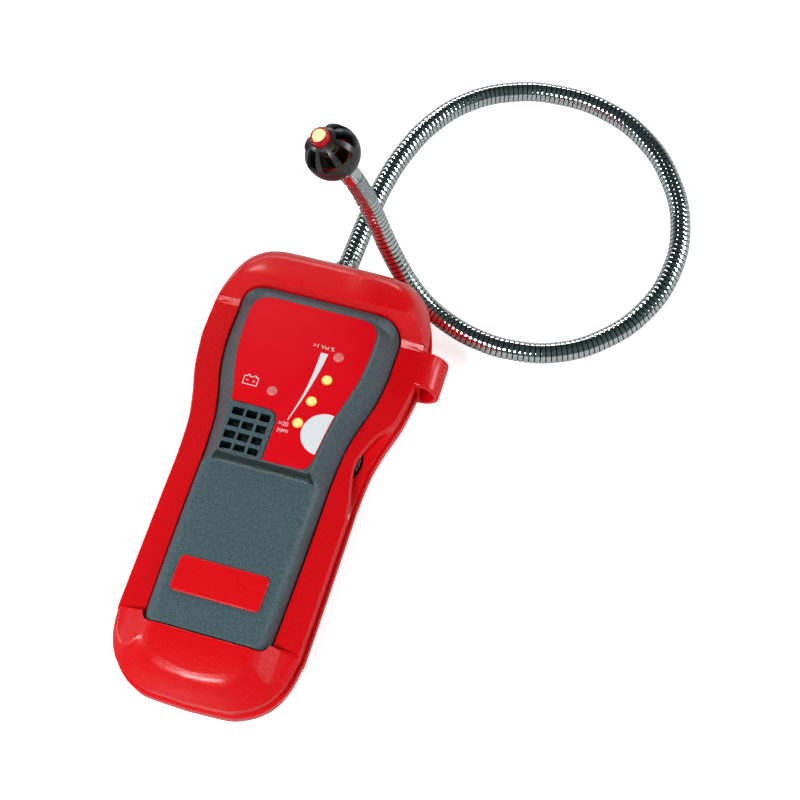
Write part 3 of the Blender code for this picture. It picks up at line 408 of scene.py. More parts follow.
def skin(name, points, round_u=False, round_v=False, caps=False, angle=40.0, merge=0.0):
    """A mesh from a grid of points[u, v]: quads between neighbours, closed in a
    direction where asked, and a flat cap on the first and last row where asked."""
    rows, size = points.shape[:2]
    index = np.arange(rows * size).reshape(rows, size)
    u_next = np.roll(index, -1, axis=0) if round_u else index[1:]
    here = index if round_u else index[:-1]
    if round_v:
        quads = np.stack([here, np.roll(here, -1, 1), np.roll(u_next, -1, 1), u_next], axis=-1)
    else:
        quads = np.stack([here[:, :-1], here[:, 1:], u_next[:, 1:], u_next[:, :-1]], axis=-1)
    faces = quads.reshape(-1, 4).tolist()
    if caps:
        faces += [index[0].tolist(), index[-1].tolist()]
    mesh = bpy.data.meshes.new(name)
    mesh.from_pydata(points.reshape(-1, 3).tolist(), [], faces)
    tidy(mesh, angle, merge)
    return placed(name, mesh)


def turned(name, profile, steps, place, angle=40.0):
    """A profile of (radius, height) turned about Z: x = r cos t, y = r sin t, then
    carried to its place by a matrix."""
    profile = np.asarray(profile, float)
    turn = np.linspace(0.0, 2.0 * np.pi, steps, endpoint=False)
    radius, height = profile[:, 0], profile[:, 1]
    points = np.stack([radius[:, None] * np.cos(turn), radius[:, None] * np.sin(turn),
                       np.broadcast_to(height[:, None], (len(profile), steps))], axis=-1)
    matrix = np.array(place)
    points = points @ matrix[:3, :3].T + matrix[:3, 3]
    return skin(name, points, round_v=True, angle=angle, merge=0.000001)


def slab(name, line, low, high, edge=0.0, angle=40.0):
    """A flat closed line given a thickness, its upper edge rounded by `edge`."""
    line = np.asarray(line, float)
    normal = outward(line)
    levels = [(0.0, low), (0.0, high)]
    if edge:
        turn = np.linspace(0.0, np.pi / 2.0, 5)
        levels = [(0.0, low)] + [(edge * (math.cos(a) - 1.0), high - edge + edge * math.sin(a))
                                 for a in turn]
    rows = [np.column_stack([line + normal * move, np.full(len(line), z)]) for move, z in levels]
    return skin(name, np.array(rows), round_v=True, caps=True, angle=angle)


# %% Boxes and cuts
def block(name, low, high):
    """A plain box, for cutting only."""
    form = bmesh.new()
    bmesh.ops.create_cube(form, size=1.0)
    span = Vector(high) - Vector(low)
    bmesh.ops.scale(form, verts=form.verts, vec=span)
    bmesh.ops.translate(form, verts=form.verts, vec=(Vector(low) + Vector(high)) / 2.0)
    mesh = bpy.data.meshes.new(name)
    form.to_mesh(mesh)
    form.free()
    return placed(name, mesh)


def worked(piece, angle=35.0):
    """Turn the live modifiers of a piece into its mesh."""
    bpy.context.view_layer.update()
    ready = piece.evaluated_get(bpy.context.evaluated_depsgraph_get())
    mesh = bpy.data.meshes.new_from_object(ready)
    piece.modifiers.clear()
    piece.data = mesh
    smooth(mesh, angle)
    return piece


def cut(piece, tools, operation="DIFFERENCE", angle=35.0):
    """Cut a piece with closed tools, or join them to it, and remove the tools."""
    for tool in tools:
        step = piece.modifiers.new("cut", "BOOLEAN")
        step.operation = operation
        step.solver = "EXACT"
        step.object = tool
    worked(piece, angle)
    for tool in tools:
        bpy.data.objects.remove(tool, do_unlink=True)
    return piece


# %% [markdown]
# ## Front shell
# A moulded frame runs round the grey panel: a high hood at the gooseneck end, low
# rails at the sides and a rounded bumper at the foot. Its section changes all the
# way round, so each section is worked out on a line from the rim in to the panel
# opening: the top there is the lowest of a rounded crown and a ramp that is cut
# across the whole case. A loft between hand-drawn sections would work too, but the
# ramp would not meet the rails in one straight crease.

# %% Front shell: lines and heights
GAP = 0.3 * MM
SEAM_Z = 24.5 * MM
LIP_Z = SEAM_Z - 6.4 * MM
RIM_Z = 31.2 * MM
RAIL_Z = 33.0 * MM
HOOD_Z = 45.0 * MM
BUMPER_Z = 41.2 * MM
FLANGE_Z = 30.2 * MM
WALL = 2.4 * MM
BAND_INSET = 0.8 * MM
REAR_PROUD = 0.5 * MM
HOOD_ROUND = 11.0 * MM
BUMPER_ROUND = 10.0 * MM
BUMPER_GROWTH = 5.0 * MM
RAIL_ROUND = 2.6 * MM
RAIL_END_Y = -72.8 * MM
FRAME_KEYS = np.array([
    (0.0, 104.7, 0.0, 80.0), (24.0, 104.3, 18.5, 80.0), (31.5, 103.0, 25.6, 80.0),
    (37.6, 99.5, 30.0, 79.4), (42.0, 94.9, 33.0, 78.2), (45.2, 89.2, 34.9, 76.8),
    (47.2, 83.6, 35.9, 75.6), (48.2, 79.4, 36.2, 75.0), (48.75, 74.4, 36.5, 74.4),
    (48.9, 71.5, 37.0, 71.5), (49.0, 57.0, 37.0, 57.0), (48.0, 48.3, 36.3, 48.5),
    (46.7, 40.0, 35.2, 41.0), (45.3, 34.5, 33.6, 35.0), (43.4, 28.1, 31.8, 28.6),
    (41.9, 21.8, 30.3, 22.2), (40.7, 16.0, 29.3, 16.5), (40.1, 10.5, 28.9, 10.8),
    (39.7, 4.0, 28.5, 4.0), (39.4, -4.0, 28.3, -4.0), (39.4, -10.6, 28.3, -10.6),
    (39.4, -11.2, 28.3, -11.2), (39.2, -66.0, 27.4, -66.0), (39.1, -72.8, 27.0, -72.8),
    (38.6, -74.6, 25.8, -75.8), (38.0, -79.4, 24.4, -77.0), (36.7, -84.9, 21.8, -77.6),
    (34.7, -89.7, 18.6, -77.6), (31.4, -94.4, 15.4, -77.6), (25.6, -98.9, 12.0, -77.6),
    (17.0, -102.0, 8.4, -77.6), (0.0, -102.8, 0.0, -77.6)]) * MM
frame_ring = mirrored(eased(FRAME_KEYS, 5), (0, 2))
rim_line = frame_ring[:, 0:2]
CROWN = through([(0.0, 0.0), (0.12, 0.20), (0.36, 0.56), (0.68, 0.87), (1.0, 1.0)], 6)
RAMP = np.array([(71.5, 33.0), (74.4, 35.2), (82.2, 45.0), (84.0, 46.0)]) * MM
SHOULDER = np.array([(20.0, 41.2), (22.5, 40.4), (25.6, 38.8), (28.0, 36.9), (31.0, 34.6),
                     (34.0, 33.3), (36.5, 32.5), (38.5, 31.9)]) * MM
SCOOP = np.array([(-11.2, 0.0), (-10.6, 0.6), (-4.0, 1.3), (4.0, 3.5), (10.5, 5.1), (16.0, 5.3),
                  (21.8, 4.6), (28.1, 3.3), (34.5, 0.0)]) * MM


def height(x, y, inward, at_foot):
    """Height of the top: rim + (crest - rim) * crown(inward / width), limited on the
    hood by the ramp over y, and on the foot by the shoulder over |x|."""
    rail = RIM_Z + (RAIL_Z - RIM_Z) * np.interp(inward / RAIL_ROUND, *CROWN.T)
    hood = RIM_Z + (HOOD_Z - RIM_Z) * np.interp(inward / HOOD_ROUND, *CROWN.T)
    wider = BUMPER_ROUND + BUMPER_GROWTH * np.minimum(abs(x) / 18.5 / MM, 1.3) ** 2
    bumper = RIM_Z + (BUMPER_Z - RIM_Z) * np.interp(inward / wider, *CROWN.T)
    top = np.maximum(rail, np.minimum(hood, np.interp(y, *RAMP.T)))
    return np.where(at_foot, np.minimum(bumper, np.interp(abs(x), *SHOULDER.T)), top)


# %% Front shell: sections
SAMPLES = 400


def shell_points(ring):
    """Sections on lines in from the rim, as (distance in, height): seam, recessed
    band, rim, crown, crest, opening edge and the inner faces."""
    x, y, ix, iy = ring.T
    scoop = np.where(x > 0.0, np.interp(y, *SCOOP.T), 0.0)
    span = np.hypot(ix - x, iy - y)
    inward = np.stack([(ix - x) / span, (iy - y) / span], axis=1)
    share = np.linspace(0.0, 1.0, SAMPLES + 1)
    tries = scoop[:, None] + (span - scoop)[:, None] * share
    levels = height(x[:, None] + inward[:, 0:1] * tries, y[:, None] + inward[:, 1:2] * tries,
                    tries - scoop[:, None], (y < RAIL_END_Y - GAP)[:, None])
    rows = np.arange(len(x))

    def level(a):
        place = np.clip((a - scoop) / (span - scoop), 0.0, 1.0) * SAMPLES
        low = np.minimum(place.astype(int), SAMPLES - 1)
        return levels[rows, low] + (place - low) * (levels[rows, low + 1] - levels[rows, low])

    high = levels > levels.max(axis=1)[:, None] - 0.02 * MM
    crown_end = np.minimum(tries[rows, high.argmax(axis=1)], span - 1.2 * MM)
    last = tries[rows, SAMPLES - high[:, ::-1].argmax(axis=1)]
    crest = np.minimum(np.maximum(last, crown_end + 0.4 * MM), span - 0.5 * MM)
    flat = np.zeros_like(x)
    low = flat + SEAM_Z + GAP / 2.0
    line = [(flat + BAND_INSET, low), (flat + BAND_INSET, low + 1.2 * MM),
            (BAND_INSET + scoop, low + 1.8 * MM), (BAND_INSET + scoop, flat + RIM_Z - 1.3 * MM),
            (0.7 * MM + scoop, flat + RIM_Z - 0.9 * MM), (0.2 * MM + scoop, flat + RIM_Z - 0.5 * MM),
            (scoop, flat + RIM_Z - 0.2 * MM)]
    for part in CROWN[:, 0]:
        reach = scoop + (crown_end - scoop) * part
        line.append((reach, level(reach)))
    for part in (0.0, 0.25, 0.5, 0.75):
        reach = crest + (span - 0.4 * MM - crest) * part
        line.append((reach, level(reach)))
    line += [(span - 0.35 * MM, level(span - 0.35 * MM) - 0.03 * MM),
             (span - 0.1 * MM, level(span - 0.1 * MM) - 0.15 * MM), (span, level(span) - 0.45 * MM),
             (span, flat + FLANGE_Z), (span - WALL, flat + FLANGE_Z)]
    shelf = np.minimum(scoop + WALL + 0.72 * (crown_end - scoop), span - WALL - 0.6 * MM)
    for reach in (span - WALL, shelf):
        line.append((reach, np.maximum(np.minimum(level(reach), level(span)) - WALL,
                                       FLANGE_Z + 0.2 * MM)))
    line += [(scoop + WALL + BAND_INSET, flat + RIM_Z - 2.0 * MM), (scoop + WALL + BAND_INSET, low)]
    sections = [np.column_stack([x + inward[:, 0] * a, y + inward[:, 1] * a, z]) for a, z in line]
    return np.stack(sections, axis=1)


front = skin("front_case", shell_points(frame_ring), round_u=True, round_v=True, angle=30.0)
wheel_low, wheel_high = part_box("thumbwheel")
WHEEL_CENTRE = ((wheel_low[0] + wheel_high[0]) / 2.0, (wheel_low[1] + wheel_high[1]) / 2.0)
WHEEL_RADIUS = 11.0 * MM
wheel_reach = WHEEL_RADIUS + 2.0 * GAP
wheel_frame = Matrix.Translation((*WHEEL_CENTRE, 0.0))
wheel_tool = turned("wheel_tool", [(0.0, wheel_high[2] + 2.0 * GAP),
                                   (wheel_reach, wheel_high[2] + 2.0 * GAP),
                                   (wheel_reach, wheel_low[2] - 2.0 * GAP),
                                   (0.0, wheel_low[2] - 2.0 * GAP)], 64, wheel_frame)
NECK_HOLE = 6.3 * MM
NECK_HOLE_Y = (96.0 * MM, 0.12)
GLAND_FRAME = Matrix.Translation((0.0, 0.0, 20.4 * MM)) @ Matrix.Rotation(-math.pi / 2, 4, "X")


def neck_tool():
    """A cylinder for the hole of the gland."""
    near, far = NECK_HOLE_Y
    return turned("neck_tool", [(0.0, far), (NECK_HOLE, far), (NECK_HOLE, near), (0.0, near)],
                  48, GLAND_FRAME)


cut(front, [wheel_tool, neck_tool()], angle=30.0)
dress(front, CASE_RED, "case", ["front_shell"])
print("front shell faces:", len(front.data.polygons))

# %% [markdown]
# ## Rear shell and its back
# The rear shell is a tub. Under the seam a narrow band stands back, then a lip
# stands slightly proud, and below it the wall leans in, most of all at the foot,
# so nothing of it shows from above. Every level is the rim line moved by one
# distance, which keeps the wall even. Its cavity, the channel of the battery door
# and the bay are cut out of it.

# %% Rear shell
FLOOR = 3.8 * MM
LIP_STEP = 0.8 * MM
SIDE_LEAN = 0.24
FOOT_LEAN = 0.36
SCREW_HOLE = 1.7 * MM
SCREW_HEAD = 3.3 * MM
SCREW_SEAT = 2.2 * MM
normal = outward(rim_line)
lean = SIDE_LEAN + FOOT_LEAN * np.clip(-normal[:, 1:2], 0.0, 1.0)**2


def tub(name, rows):
    """Levels (height, inset) of the tub: rim line + normal * (proud - inset - lean *
    depth below the lip)."""
    lines = [rim_line + normal * (REAR_PROUD - inset - lean * max(LIP_Z - z, 0.0))
             for z, inset in rows]
    points = [np.column_stack([line, np.full(len(line), z)]) for line, (z, _) in zip(lines, rows)]
    return skin(name, np.array(points), round_v=True, caps=True, angle=30.0)


SEAM_LOW = SEAM_Z - GAP / 2.0
LIP_TOP_Z = SEAM_Z - 2.1 * MM
hull = [(SEAM_LOW, 1.5 * MM), (LIP_TOP_Z, 1.5 * MM), (LIP_TOP_Z - 0.02 * MM, 0.40 * MM),
        (LIP_TOP_Z - 0.1 * MM, 0.12 * MM), (LIP_TOP_Z - 0.3 * MM, 0.0),
        (LIP_Z + 0.3 * MM, 0.0), (LIP_Z, 0.15 * MM), (LIP_Z - 0.3 * MM, 0.6 * MM),
        (LIP_Z - 0.6 * MM, LIP_STEP), (12.0 * MM, LIP_STEP)]
hull += [tuple(row) for row in through([(4.0, 0.8), (2.5, 1.15), (1.2, 2.0), (0.4, 3.1),
                                        (0.0, 4.2)], 3) * MM]
rear = tub("rear_case", hull)
cavity = tub("cavity_tool", [(SEAM_Z + 10.0 * MM, WALL), (LIP_Z, WALL), (FLOOR, WALL + LIP_STEP)])
_, door_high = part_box("battery_door")
tray_low, tray_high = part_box("battery_tray")
DOOR_TONGUE = 1.5 * MM
groove_x = door_high[0] + GAP
slot_x = groove_x - DOOR_TONGUE
tools = [cavity, neck_tool(),
         block("slot_tool", (-slot_x, -0.12, -0.002), (slot_x, door_high[1] + GAP, 1.4 * MM)),
         block("groove_tool", (-groove_x, -0.12, 0.8 * MM),
               (groove_x, door_high[1] + GAP, door_high[2] + GAP)),
         block("bay_tool", (-slot_x + GAP, tray_low[1] + WALL, -0.002),
               (slot_x - GAP, tray_high[1] - WALL, FLOOR + 0.001))]
for number in range(1, 5):
    low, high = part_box(f"case_screw_{number}")
    middle = Matrix.Translation(((low[0] + high[0]) / 2.0, (low[1] + high[1]) / 2.0, 0.0))
    tools.append(turned(f"screw_tool_{number}",
                        [(0.0, FLOOR + 0.002), (SCREW_HOLE, FLOOR + 0.002),
                         (SCREW_HOLE, SCREW_SEAT), (SCREW_HEAD, SCREW_SEAT),
                         (SCREW_HEAD, -0.002), (0.0, -0.002)], 32, middle))
cut(rear, tools, angle=30.0)
dress(rear, CASE_RED, "case", ["rear_shell"])
print("rear shell faces:", len(rear.data.polygons))


def polished(name, node, material, body="case", angle=32.0):
    """A copy of a CAD solid with its loose triangles merged and smooth shading."""
    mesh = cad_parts[node].data.copy()
    mesh.materials.clear()
    form = bmesh.new()
    form.from_mesh(mesh)
    bmesh.ops.remove_doubles(form, verts=form.verts, dist=0.000002)
    bmesh.ops.dissolve_limit(form, angle_limit=0.01, verts=form.verts, edges=form.edges)
    form.to_mesh(mesh)
    form.free()
    smooth(mesh, angle)
    return dress(placed(name, mesh), material, body, [node])


polished("door", "battery_door", CASE_RED, "door")
for number in range(1, 5):
    polished(f"screw_{number}", f"case_screw_{number}", STEEL)

# %% [markdown]
# ## Lug
# A small loop stands out of the right side for parking the probe or tying a cord.
# It is moulded half on each shell, flush with the rail above. Seen along the case
# it is a D, so one D-shaped line is carried along y and a smaller D is its hole.

# %% Lug
LUG_ROOT_X = 46.0 * MM
LUG_ROUND_X = 49.4 * MM
LUG_TIP_X = 58.8 * MM
LUG_Y = (55.8 * MM, 72.3 * MM)
LUG_Z = (15.4 * MM, RAIL_Z - 0.06 * MM)
LUG_WALL = 2.3 * MM


def lug_half(name, seam, outer):
    """Sections along y of a quarter D: x = round + wide sin t, z = seam + tall cos t,
    both smaller by the edge rounding at the two ends."""
    away = math.copysign(1.0, outer - seam)
    bend = np.linspace(0.0, np.pi / 2.0, 5)
    edge = 0.6 * MM
    places = [(LUG_Y[0] + edge * (1 - math.sin(a)), edge * (1 - math.cos(a))) for a in bend[::-1]]
    places += [(LUG_Y[0] + LUG_Y[1] - y, less) for y, less in places[::-1]]
    turn = np.radians(np.linspace(0.0, 87.0, 22))
    sections = []
    for y, less in places:
        wide = LUG_TIP_X - LUG_ROUND_X - less
        tall = outer - seam - away * less
        x = np.concatenate([[LUG_ROOT_X, LUG_ROOT_X], LUG_ROUND_X + wide * np.sin(turn),
                            [LUG_TIP_X - less - 0.25 * MM]])
        z = np.concatenate([[seam, seam + tall], seam + tall * np.cos(turn), [seam]])
        sections.append(np.column_stack([x, np.full(len(x), y), z]))
    return skin(name, np.array(sections), round_v=True, caps=True, angle=35.0)


def lug_hole():
    """A D carried along y, one wall thickness inside the lug."""
    turn = np.linspace(0.0, np.pi, 33)
    wide = LUG_TIP_X - LUG_WALL - LUG_ROUND_X - 1.2 * MM
    tall = (LUG_Z[1] - LUG_Z[0]) / 2.0 - LUG_WALL
    middle = (LUG_Z[0] + LUG_Z[1]) / 2.0
    x = np.concatenate([LUG_ROUND_X + 1.2 * MM + wide * np.sin(turn),
                        [LUG_ROUND_X + 0.6 * MM] * 2])
    z = np.concatenate([middle + tall * np.cos(turn),
                        [middle - tall + 0.6 * MM, middle + tall - 0.6 * MM]])
    rows = [np.column_stack([x, np.full(len(x), y), z]) for y in (0.05, 0.08)]
    return skin("hole_tool", np.array(rows), round_v=True, caps=True)


for name, seam, outer in (("lug_upper", SEAM_Z + GAP / 2.0, LUG_Z[1]),
                          ("lug_lower", SEAM_Z - GAP / 2.0, LUG_Z[0])):
    half = cut(lug_half(name, seam, outer), [lug_hole()])
    dress(half, CASE_RED, "case")
print("lug halves made")

# %% [markdown]
# ## Grey panel
# The panel is raised: its sides slope up from the rails to a deck that carries the
# label, and below a short step lies a lower pad with rounded shoulders. Its top end
# lies on the ramp of the hood. It is a section across the panel, carried from the
# top edge to the bottom edge; the columns of the table are y, half width at the
# rails, half width of the deck, height of the deck, height of the outer edge and
# how round the side is. The faces in the grille's slots and on the step carry a
# number that darkens the grey there: painted shade, for the deep slots and for the
# step, which faces away from the light.

# %% Panel
PAD_Z = 41.0 * MM
DECK_Z = 44.4 * MM
FILM_TOP_Z = DECK_Z + 0.9 * MM
SKIRT_Z = FLANGE_Z + 0.4 * MM
PANEL_ROWS = np.array([
    (79.4, 25.5, 23.5, 41.6, 41.2, 0.0), (78.9, 29.6, 25.4, 41.9, 40.6, 0.0),
    (77.8, 32.2, 25.6, 42.5, 39.2, 0.0), (77.4, 33.0, 25.5, 42.7, 38.7, 0.0),
    (76.3, 34.5, 25.3, 43.2, 37.3, 0.0), (74.9, 35.6, 25.0, 43.9, 35.5, 0.0),
    (73.7, 36.1, 25.0, 44.3, 34.3, 0.0), (71.9, 36.4, 26.9, 44.4, 33.0, 0.0),
    (69.0, 36.4, 28.5, 44.4, 32.8, 0.0), (63.0, 36.4, 28.9, 44.4, 32.8, 0.0),
    (55.0, 36.3, 28.7, 44.4, 32.8, 0.0), (46.0, 35.4, 27.8, 44.4, 32.8, 0.0),
    (39.0, 34.1, 26.4, 44.4, 32.8, 0.0), (33.0, 32.4, 24.9, 44.4, 32.8, 0.0),
    (27.0, 30.8, 23.5, 44.4, 32.8, 0.0), (20.0, 29.3, 22.4, 44.4, 32.8, 0.0),
    (12.0, 28.4, 21.3, 44.4, 32.8, 0.0), (4.0, 27.9, 20.4, 44.4, 32.8, 0.0),
    (-0.8, 27.7, 20.0, 44.4, 32.8, 0.1), (-1.5, 27.7, 19.9, 43.9, 32.8, 0.2),
    (-3.9, 27.7, 20.4, 41.3, 32.8, 0.9), (-5.2, 27.7, 20.8, 41.0, 32.8, 1.0),
    (-40.0, 27.4, 20.8, 41.0, 32.8, 1.0), (-66.0, 26.8, 20.8, 41.0, 32.8, 1.0),
    (-72.0, 26.5, 20.7, 41.0, 32.8, 1.0), (-74.2, 26.1, 20.6, 41.0, 33.4, 1.0),
    (-76.0, 25.1, 20.2, 41.0, 35.0, 1.0), (-77.0, 23.4, 19.0, 40.9, 36.6, 1.0),
]) * [MM, MM, MM, MM, MM, 1.0]


def panel_points(rows):
    """Sections across the panel: skirt, side, shoulder, deck and the same mirrored.
    The side bends from straight (0) to round (1) with the last column."""
    y, wide, deck, top, edge, bow = rows.T
    knee, rise = wide - deck, top - edge
    right = [(wide, wide * 0.0 + SKIRT_Z), (wide, edge - 0.3 * MM),
             (wide - 0.12 * MM, edge + 0.05 * MM),
             (wide - knee * (0.34 - 0.16 * bow), edge + rise * (0.36 + 0.22 * bow)),
             (wide - knee * (0.62 - 0.18 * bow), edge + rise * (0.64 + 0.17 * bow)),
             (deck + knee * (0.12 + 0.22 * bow), top - rise * (0.11 - 0.03 * bow)),
             (deck + knee * 0.03 * (1.0 + bow), top - rise * 0.02), (deck - 0.6 * MM, top),
             (deck - 3.0 * MM, top)]
    half = [np.column_stack([x, y, z]) for x, z in right]
    other = [points * [-1.0, 1.0, 1.0] for points in half[::-1]]
    return np.stack(half + other, axis=1)


panel = skin("panel", panel_points(eased(PANEL_ROWS, 3)), round_v=True, caps=True, angle=48.0)
GRILLE = through([(-5.6, 21.9), (-3.2, 21.2), (-1.6, 19.7), (-0.9, 17.4)], 4)
GRILLE = np.vstack([[(-16.8, -0.6), (-18.6, 0.1), (-19.6, 2.4), (-21.6, 21.9)], GRILLE,
                    [(-0.9, -0.6)]]) * MM
cut(panel, [slab("grille_frame", GRILLE, DECK_Z - 0.6 * MM, FILM_TOP_Z - 0.1 * MM, 0.25 * MM)],
    "UNION", 48.0)
SLOT_FLOOR_Z = 31.2 * MM
slots = []
for column, (x, half) in enumerate([(-17.2, 2.5), (-11.2, 2.4), (-5.3, 2.2)]):
    for row, (y, tall) in enumerate([(17.6, 1.75), (12.1, 1.75), (6.6, 1.75), (1.5, 1.5)]):
        slots.append(block(f"slot_{column}_{row}", ((x - half) * MM, (y - tall) * MM, SLOT_FLOOR_Z),
                           ((x + half) * MM, (y + tall) * MM, 0.047)))
cut(panel, slots, angle=48.0)
# Painted shade: faces on the walls and floors of the slots and on the step are marked to be darkened
# in the base colour.
centres = np.zeros(len(panel.data.polygons) * 3)
facing = np.zeros_like(centres)
panel.data.polygons.foreach_get("center", centres)
panel.data.polygons.foreach_get("normal", facing)
cx, cy, cz = centres.reshape(-1, 3).T / MM
_, ny, nz = facing.reshape(-1, 3).T
in_slot = (cx > -20.0) & (cx < -2.8) & (cy > -0.4) & (cy < 20.2) & (cz < 44.9) & (abs(nz) < 0.5)
in_slot |= (cz < 31.6) & (nz > 0.5) & (cx < 0.0) & (cy > -0.4)
in_step = (cy < -0.9) & (cy > -4.6) & (ny < -0.35)
mark(panel, "shade", np.where(in_slot, 1.0, np.where(in_step, 0.93, 0.0)), "FACE")
dress(panel, PANEL_GREY, "case", ["front_panel"])
print("panel faces:", len(panel.data.polygons))

# %% [markdown]
# ## Label and print
# A thin red film lies on the deck and leaves the grille free. White ink on it
# shows the scale wedge, the battery sign and a round sticker. The scale carries
# plain numbers and a unit, as on any dial.

# %% Label
LABEL_HALF = np.array([
    (0.0, 73.6), (10.0, 73.6), (19.5, 73.5), (24.0, 72.6), (26.9, 70.4), (28.2, 66.6),
    (28.3, 60.0), (27.9, 51.5), (26.9, 44.0), (25.3, 36.5), (23.5, 29.5), (22.1, 23.6),
    (21.0, 15.0), (20.2, 7.6), (19.7, 3.8), (18.7, 1.3), (16.8, -0.2), (14.2, -0.6)]) * MM
right_edge = through(LABEL_HALF, 4)
left_edge = right_edge[(right_edge[:, 1] > 22.6 * MM) & (right_edge[:, 0] > 0.0)][::-1]
CORNER = through([(-0.4, 17.4), (-1.1, 20.0), (-2.9, 21.7), (-5.4, 22.4)], 4)
CORNER = np.vstack([[(-0.4, -0.6)], CORNER, [(-21.7, 22.4)]]) * MM
label_line = np.vstack([right_edge, CORNER, left_edge * [-1.0, 1.0]])
film = slab("label_film", label_line, DECK_Z + 0.05 * MM, FILM_TOP_Z, 0.2 * MM, 30.0)
dress(film, LABEL_RED, "case", ["display_label"])

# %% Print on the label
PRINT_TOP = FILM_TOP_Z + 0.12 * MM
DISC = (20.7 * MM, 16.8 * MM, 9.6 * MM)
angles = np.radians(np.arange(0.0, -360.0, -4.0))
disc_line = np.stack([DISC[0] + DISC[2] * np.cos(angles), DISC[1] + DISC[2] * np.sin(angles)],
                     axis=1)
edge_x = np.interp(disc_line[:, 1], LABEL_HALF[::-1, 1], LABEL_HALF[::-1, 0]) - 0.25 * MM
disc_line[:, 0] = np.minimum(disc_line[:, 0], edge_x)
wedge_line = np.vstack([
    through([(11.0, 53.4), (10.3, 47.0), (9.1, 39.7), (7.0, 29.8), (4.3, 19.2)], 5),
    through([(3.9, 19.2), (5.6, 27.0), (6.9, 34.5), (7.6, 43.5), (7.8, 53.4)], 5),
]) * MM
for name, line in (("test_disc", disc_line), ("scale_wedge", wedge_line)):
    ink = slab(name, line, FILM_TOP_Z - 0.1 * MM, PRINT_TOP)
    dress(ink, PRINT_WHITE, "case")


def words(name, text, place, height):
    """Flat ink letters, made a mesh and laid on the film."""
    drawn = bpy.data.curves.new(name, "FONT")
    drawn.body = text
    drawn.size = height
    drawn.extrude = 0.04 * MM
    drawn.offset = -0.02 * MM
    drawn.align_x = "CENTER"
    drawn.align_y = "CENTER"
    holder = placed(name, drawn)
    bpy.context.view_layer.update()
    mesh = bpy.data.meshes.new_from_object(holder.evaluated_get(
        bpy.context.evaluated_depsgraph_get()))
    bpy.data.objects.remove(holder, do_unlink=True)
    mesh.transform(Matrix.Translation((place[0], place[1], FILM_TOP_Z + 0.05 * MM)))
    tidy(mesh, 30.0, 0.000001)
    return dress(placed(name, mesh), PRINT_WHITE, "case")


words("scale_top", ">1 Vol %", (8.2 * MM, 56.1 * MM), 2.6 * MM)
words("scale_foot", ">20", (2.9 * MM, 17.2 * MM), 2.8 * MM)
words("scale_unit", "ppm", (3.6 * MM, 14.4 * MM), 2.8 * MM)
print("print laid on the label")

# %% [markdown]
# ## Lamps in the label
# Each lamp is a standard round lens that stands on the board and shows a shallow
# dome above the film. Three of the scale lamps are lit in the photograph.

# %% Lamps
LEDS = {"led_scale_4": (15.7, 53.2), "led_scale_3": (14.2, 41.5), "led_scale_2": (11.0, 30.3),
        "led_scale_1": (8.6, 19.2), "led_battery": (-6.5, 30.5)}
UNLIT = ("led_scale_4", "led_battery")
LED_RADIUS = 2.4 * MM
LED_FOOT_Z = 32.0 * MM
for node, (x, y) in LEDS.items():
    turn = np.linspace(0.0, np.pi / 2.0, 10)
    dome = np.stack([LED_RADIUS * np.sin(turn), FILM_TOP_Z - 0.4 * MM + 1.3 * MM * np.cos(turn)], 1)
    profile = np.vstack([dome, [(LED_RADIUS, LED_FOOT_Z), (0.0, LED_FOOT_Z)]])
    lens_piece = turned(node + "_lens", profile, 40, Matrix.Translation((x * MM, y * MM, 0.0)))
    mark_rim(lens_piece, (x * MM, y * MM, FILM_TOP_Z + 0.9 * MM), 2.5 * MM)
    unlit = node in UNLIT
    dress(lens_piece, LENS_OFF if unlit else LENS_LIT, "case",
          [node])

# %% [markdown]
# ## Bare plate and battery sign
# A plain red plate lies on the pad. The sign of the battery is a flat outline with
# three strokes in it, in the same white ink as the scale.

# %% Bare plate and battery sign
def soft_rectangle(x0, y0, x1, y1, radius, steps=8):
    """A clockwise rectangle with quarter-circle corners."""
    turn = np.radians(np.linspace(0.0, 90.0, steps + 1))
    centres = [(x1 - radius, y1 - radius, 90.0), (x1 - radius, y0 + radius, 0.0),
               (x0 + radius, y0 + radius, -90.0), (x0 + radius, y1 - radius, -180.0)]
    arcs = [np.stack([cx + radius * np.cos(np.radians(start) - turn),
                      cy + radius * np.sin(np.radians(start) - turn)], axis=1)
            for cx, cy, start in centres]
    return np.vstack(arcs)


plate_line = soft_rectangle(-19 * MM, -63.2 * MM, 19 * MM, -47.8 * MM, 2.2 * MM)
bare = slab("bare_plate", plate_line, PAD_Z - 0.2 * MM, PAD_Z + 1.1 * MM, 0.4 * MM)
dress(bare, CASE_RED, "case", ["name_plate"])
SIGN = np.array([(-20.0, 34.6), (-18.8, 34.6), (-18.8, 35.3), (-17.6, 35.3), (-17.6, 34.6),
                 (-16.0, 34.6), (-16.0, 35.3), (-14.8, 35.3), (-14.8, 34.6), (-13.6, 34.6),
                 (-13.6, 30.5), (-20.0, 30.5)]) * MM
sign = slab("battery_sign", SIGN, FILM_TOP_Z - 0.1 * MM, PRINT_TOP)
SIGN_HOLES = [(-19.72, 30.78, -13.88, 34.32), (-18.55, 34.2, -17.85, 35.05),
              (-15.75, 34.2, -15.05, 35.05)]
cut(sign, [block(f"sign_tool_{number}", (x0 * MM, y0 * MM, 0.04), (x1 * MM, y1 * MM, 0.05))
           for number, (x0, y0, x1, y1) in enumerate(SIGN_HOLES)])
dress(sign, PRINT_WHITE, "case")
for name, x0, y0, x1, y1 in (("sign_minus", -18.7, 32.4, -17.8, 32.65),
                             ("sign_plus", -15.8, 32.4, -14.9, 32.65),
                             ("sign_plus_bar", -15.47, 32.1, -15.23, 32.95)):
    stroke = block(name, (x0 * MM, y0 * MM, FILM_TOP_Z - 0.1 * MM),
                   (x1 * MM, y1 * MM, PRINT_TOP - 0.01 * MM))
    dress(stroke, PRINT_WHITE, "case")
print("plate and sign laid")
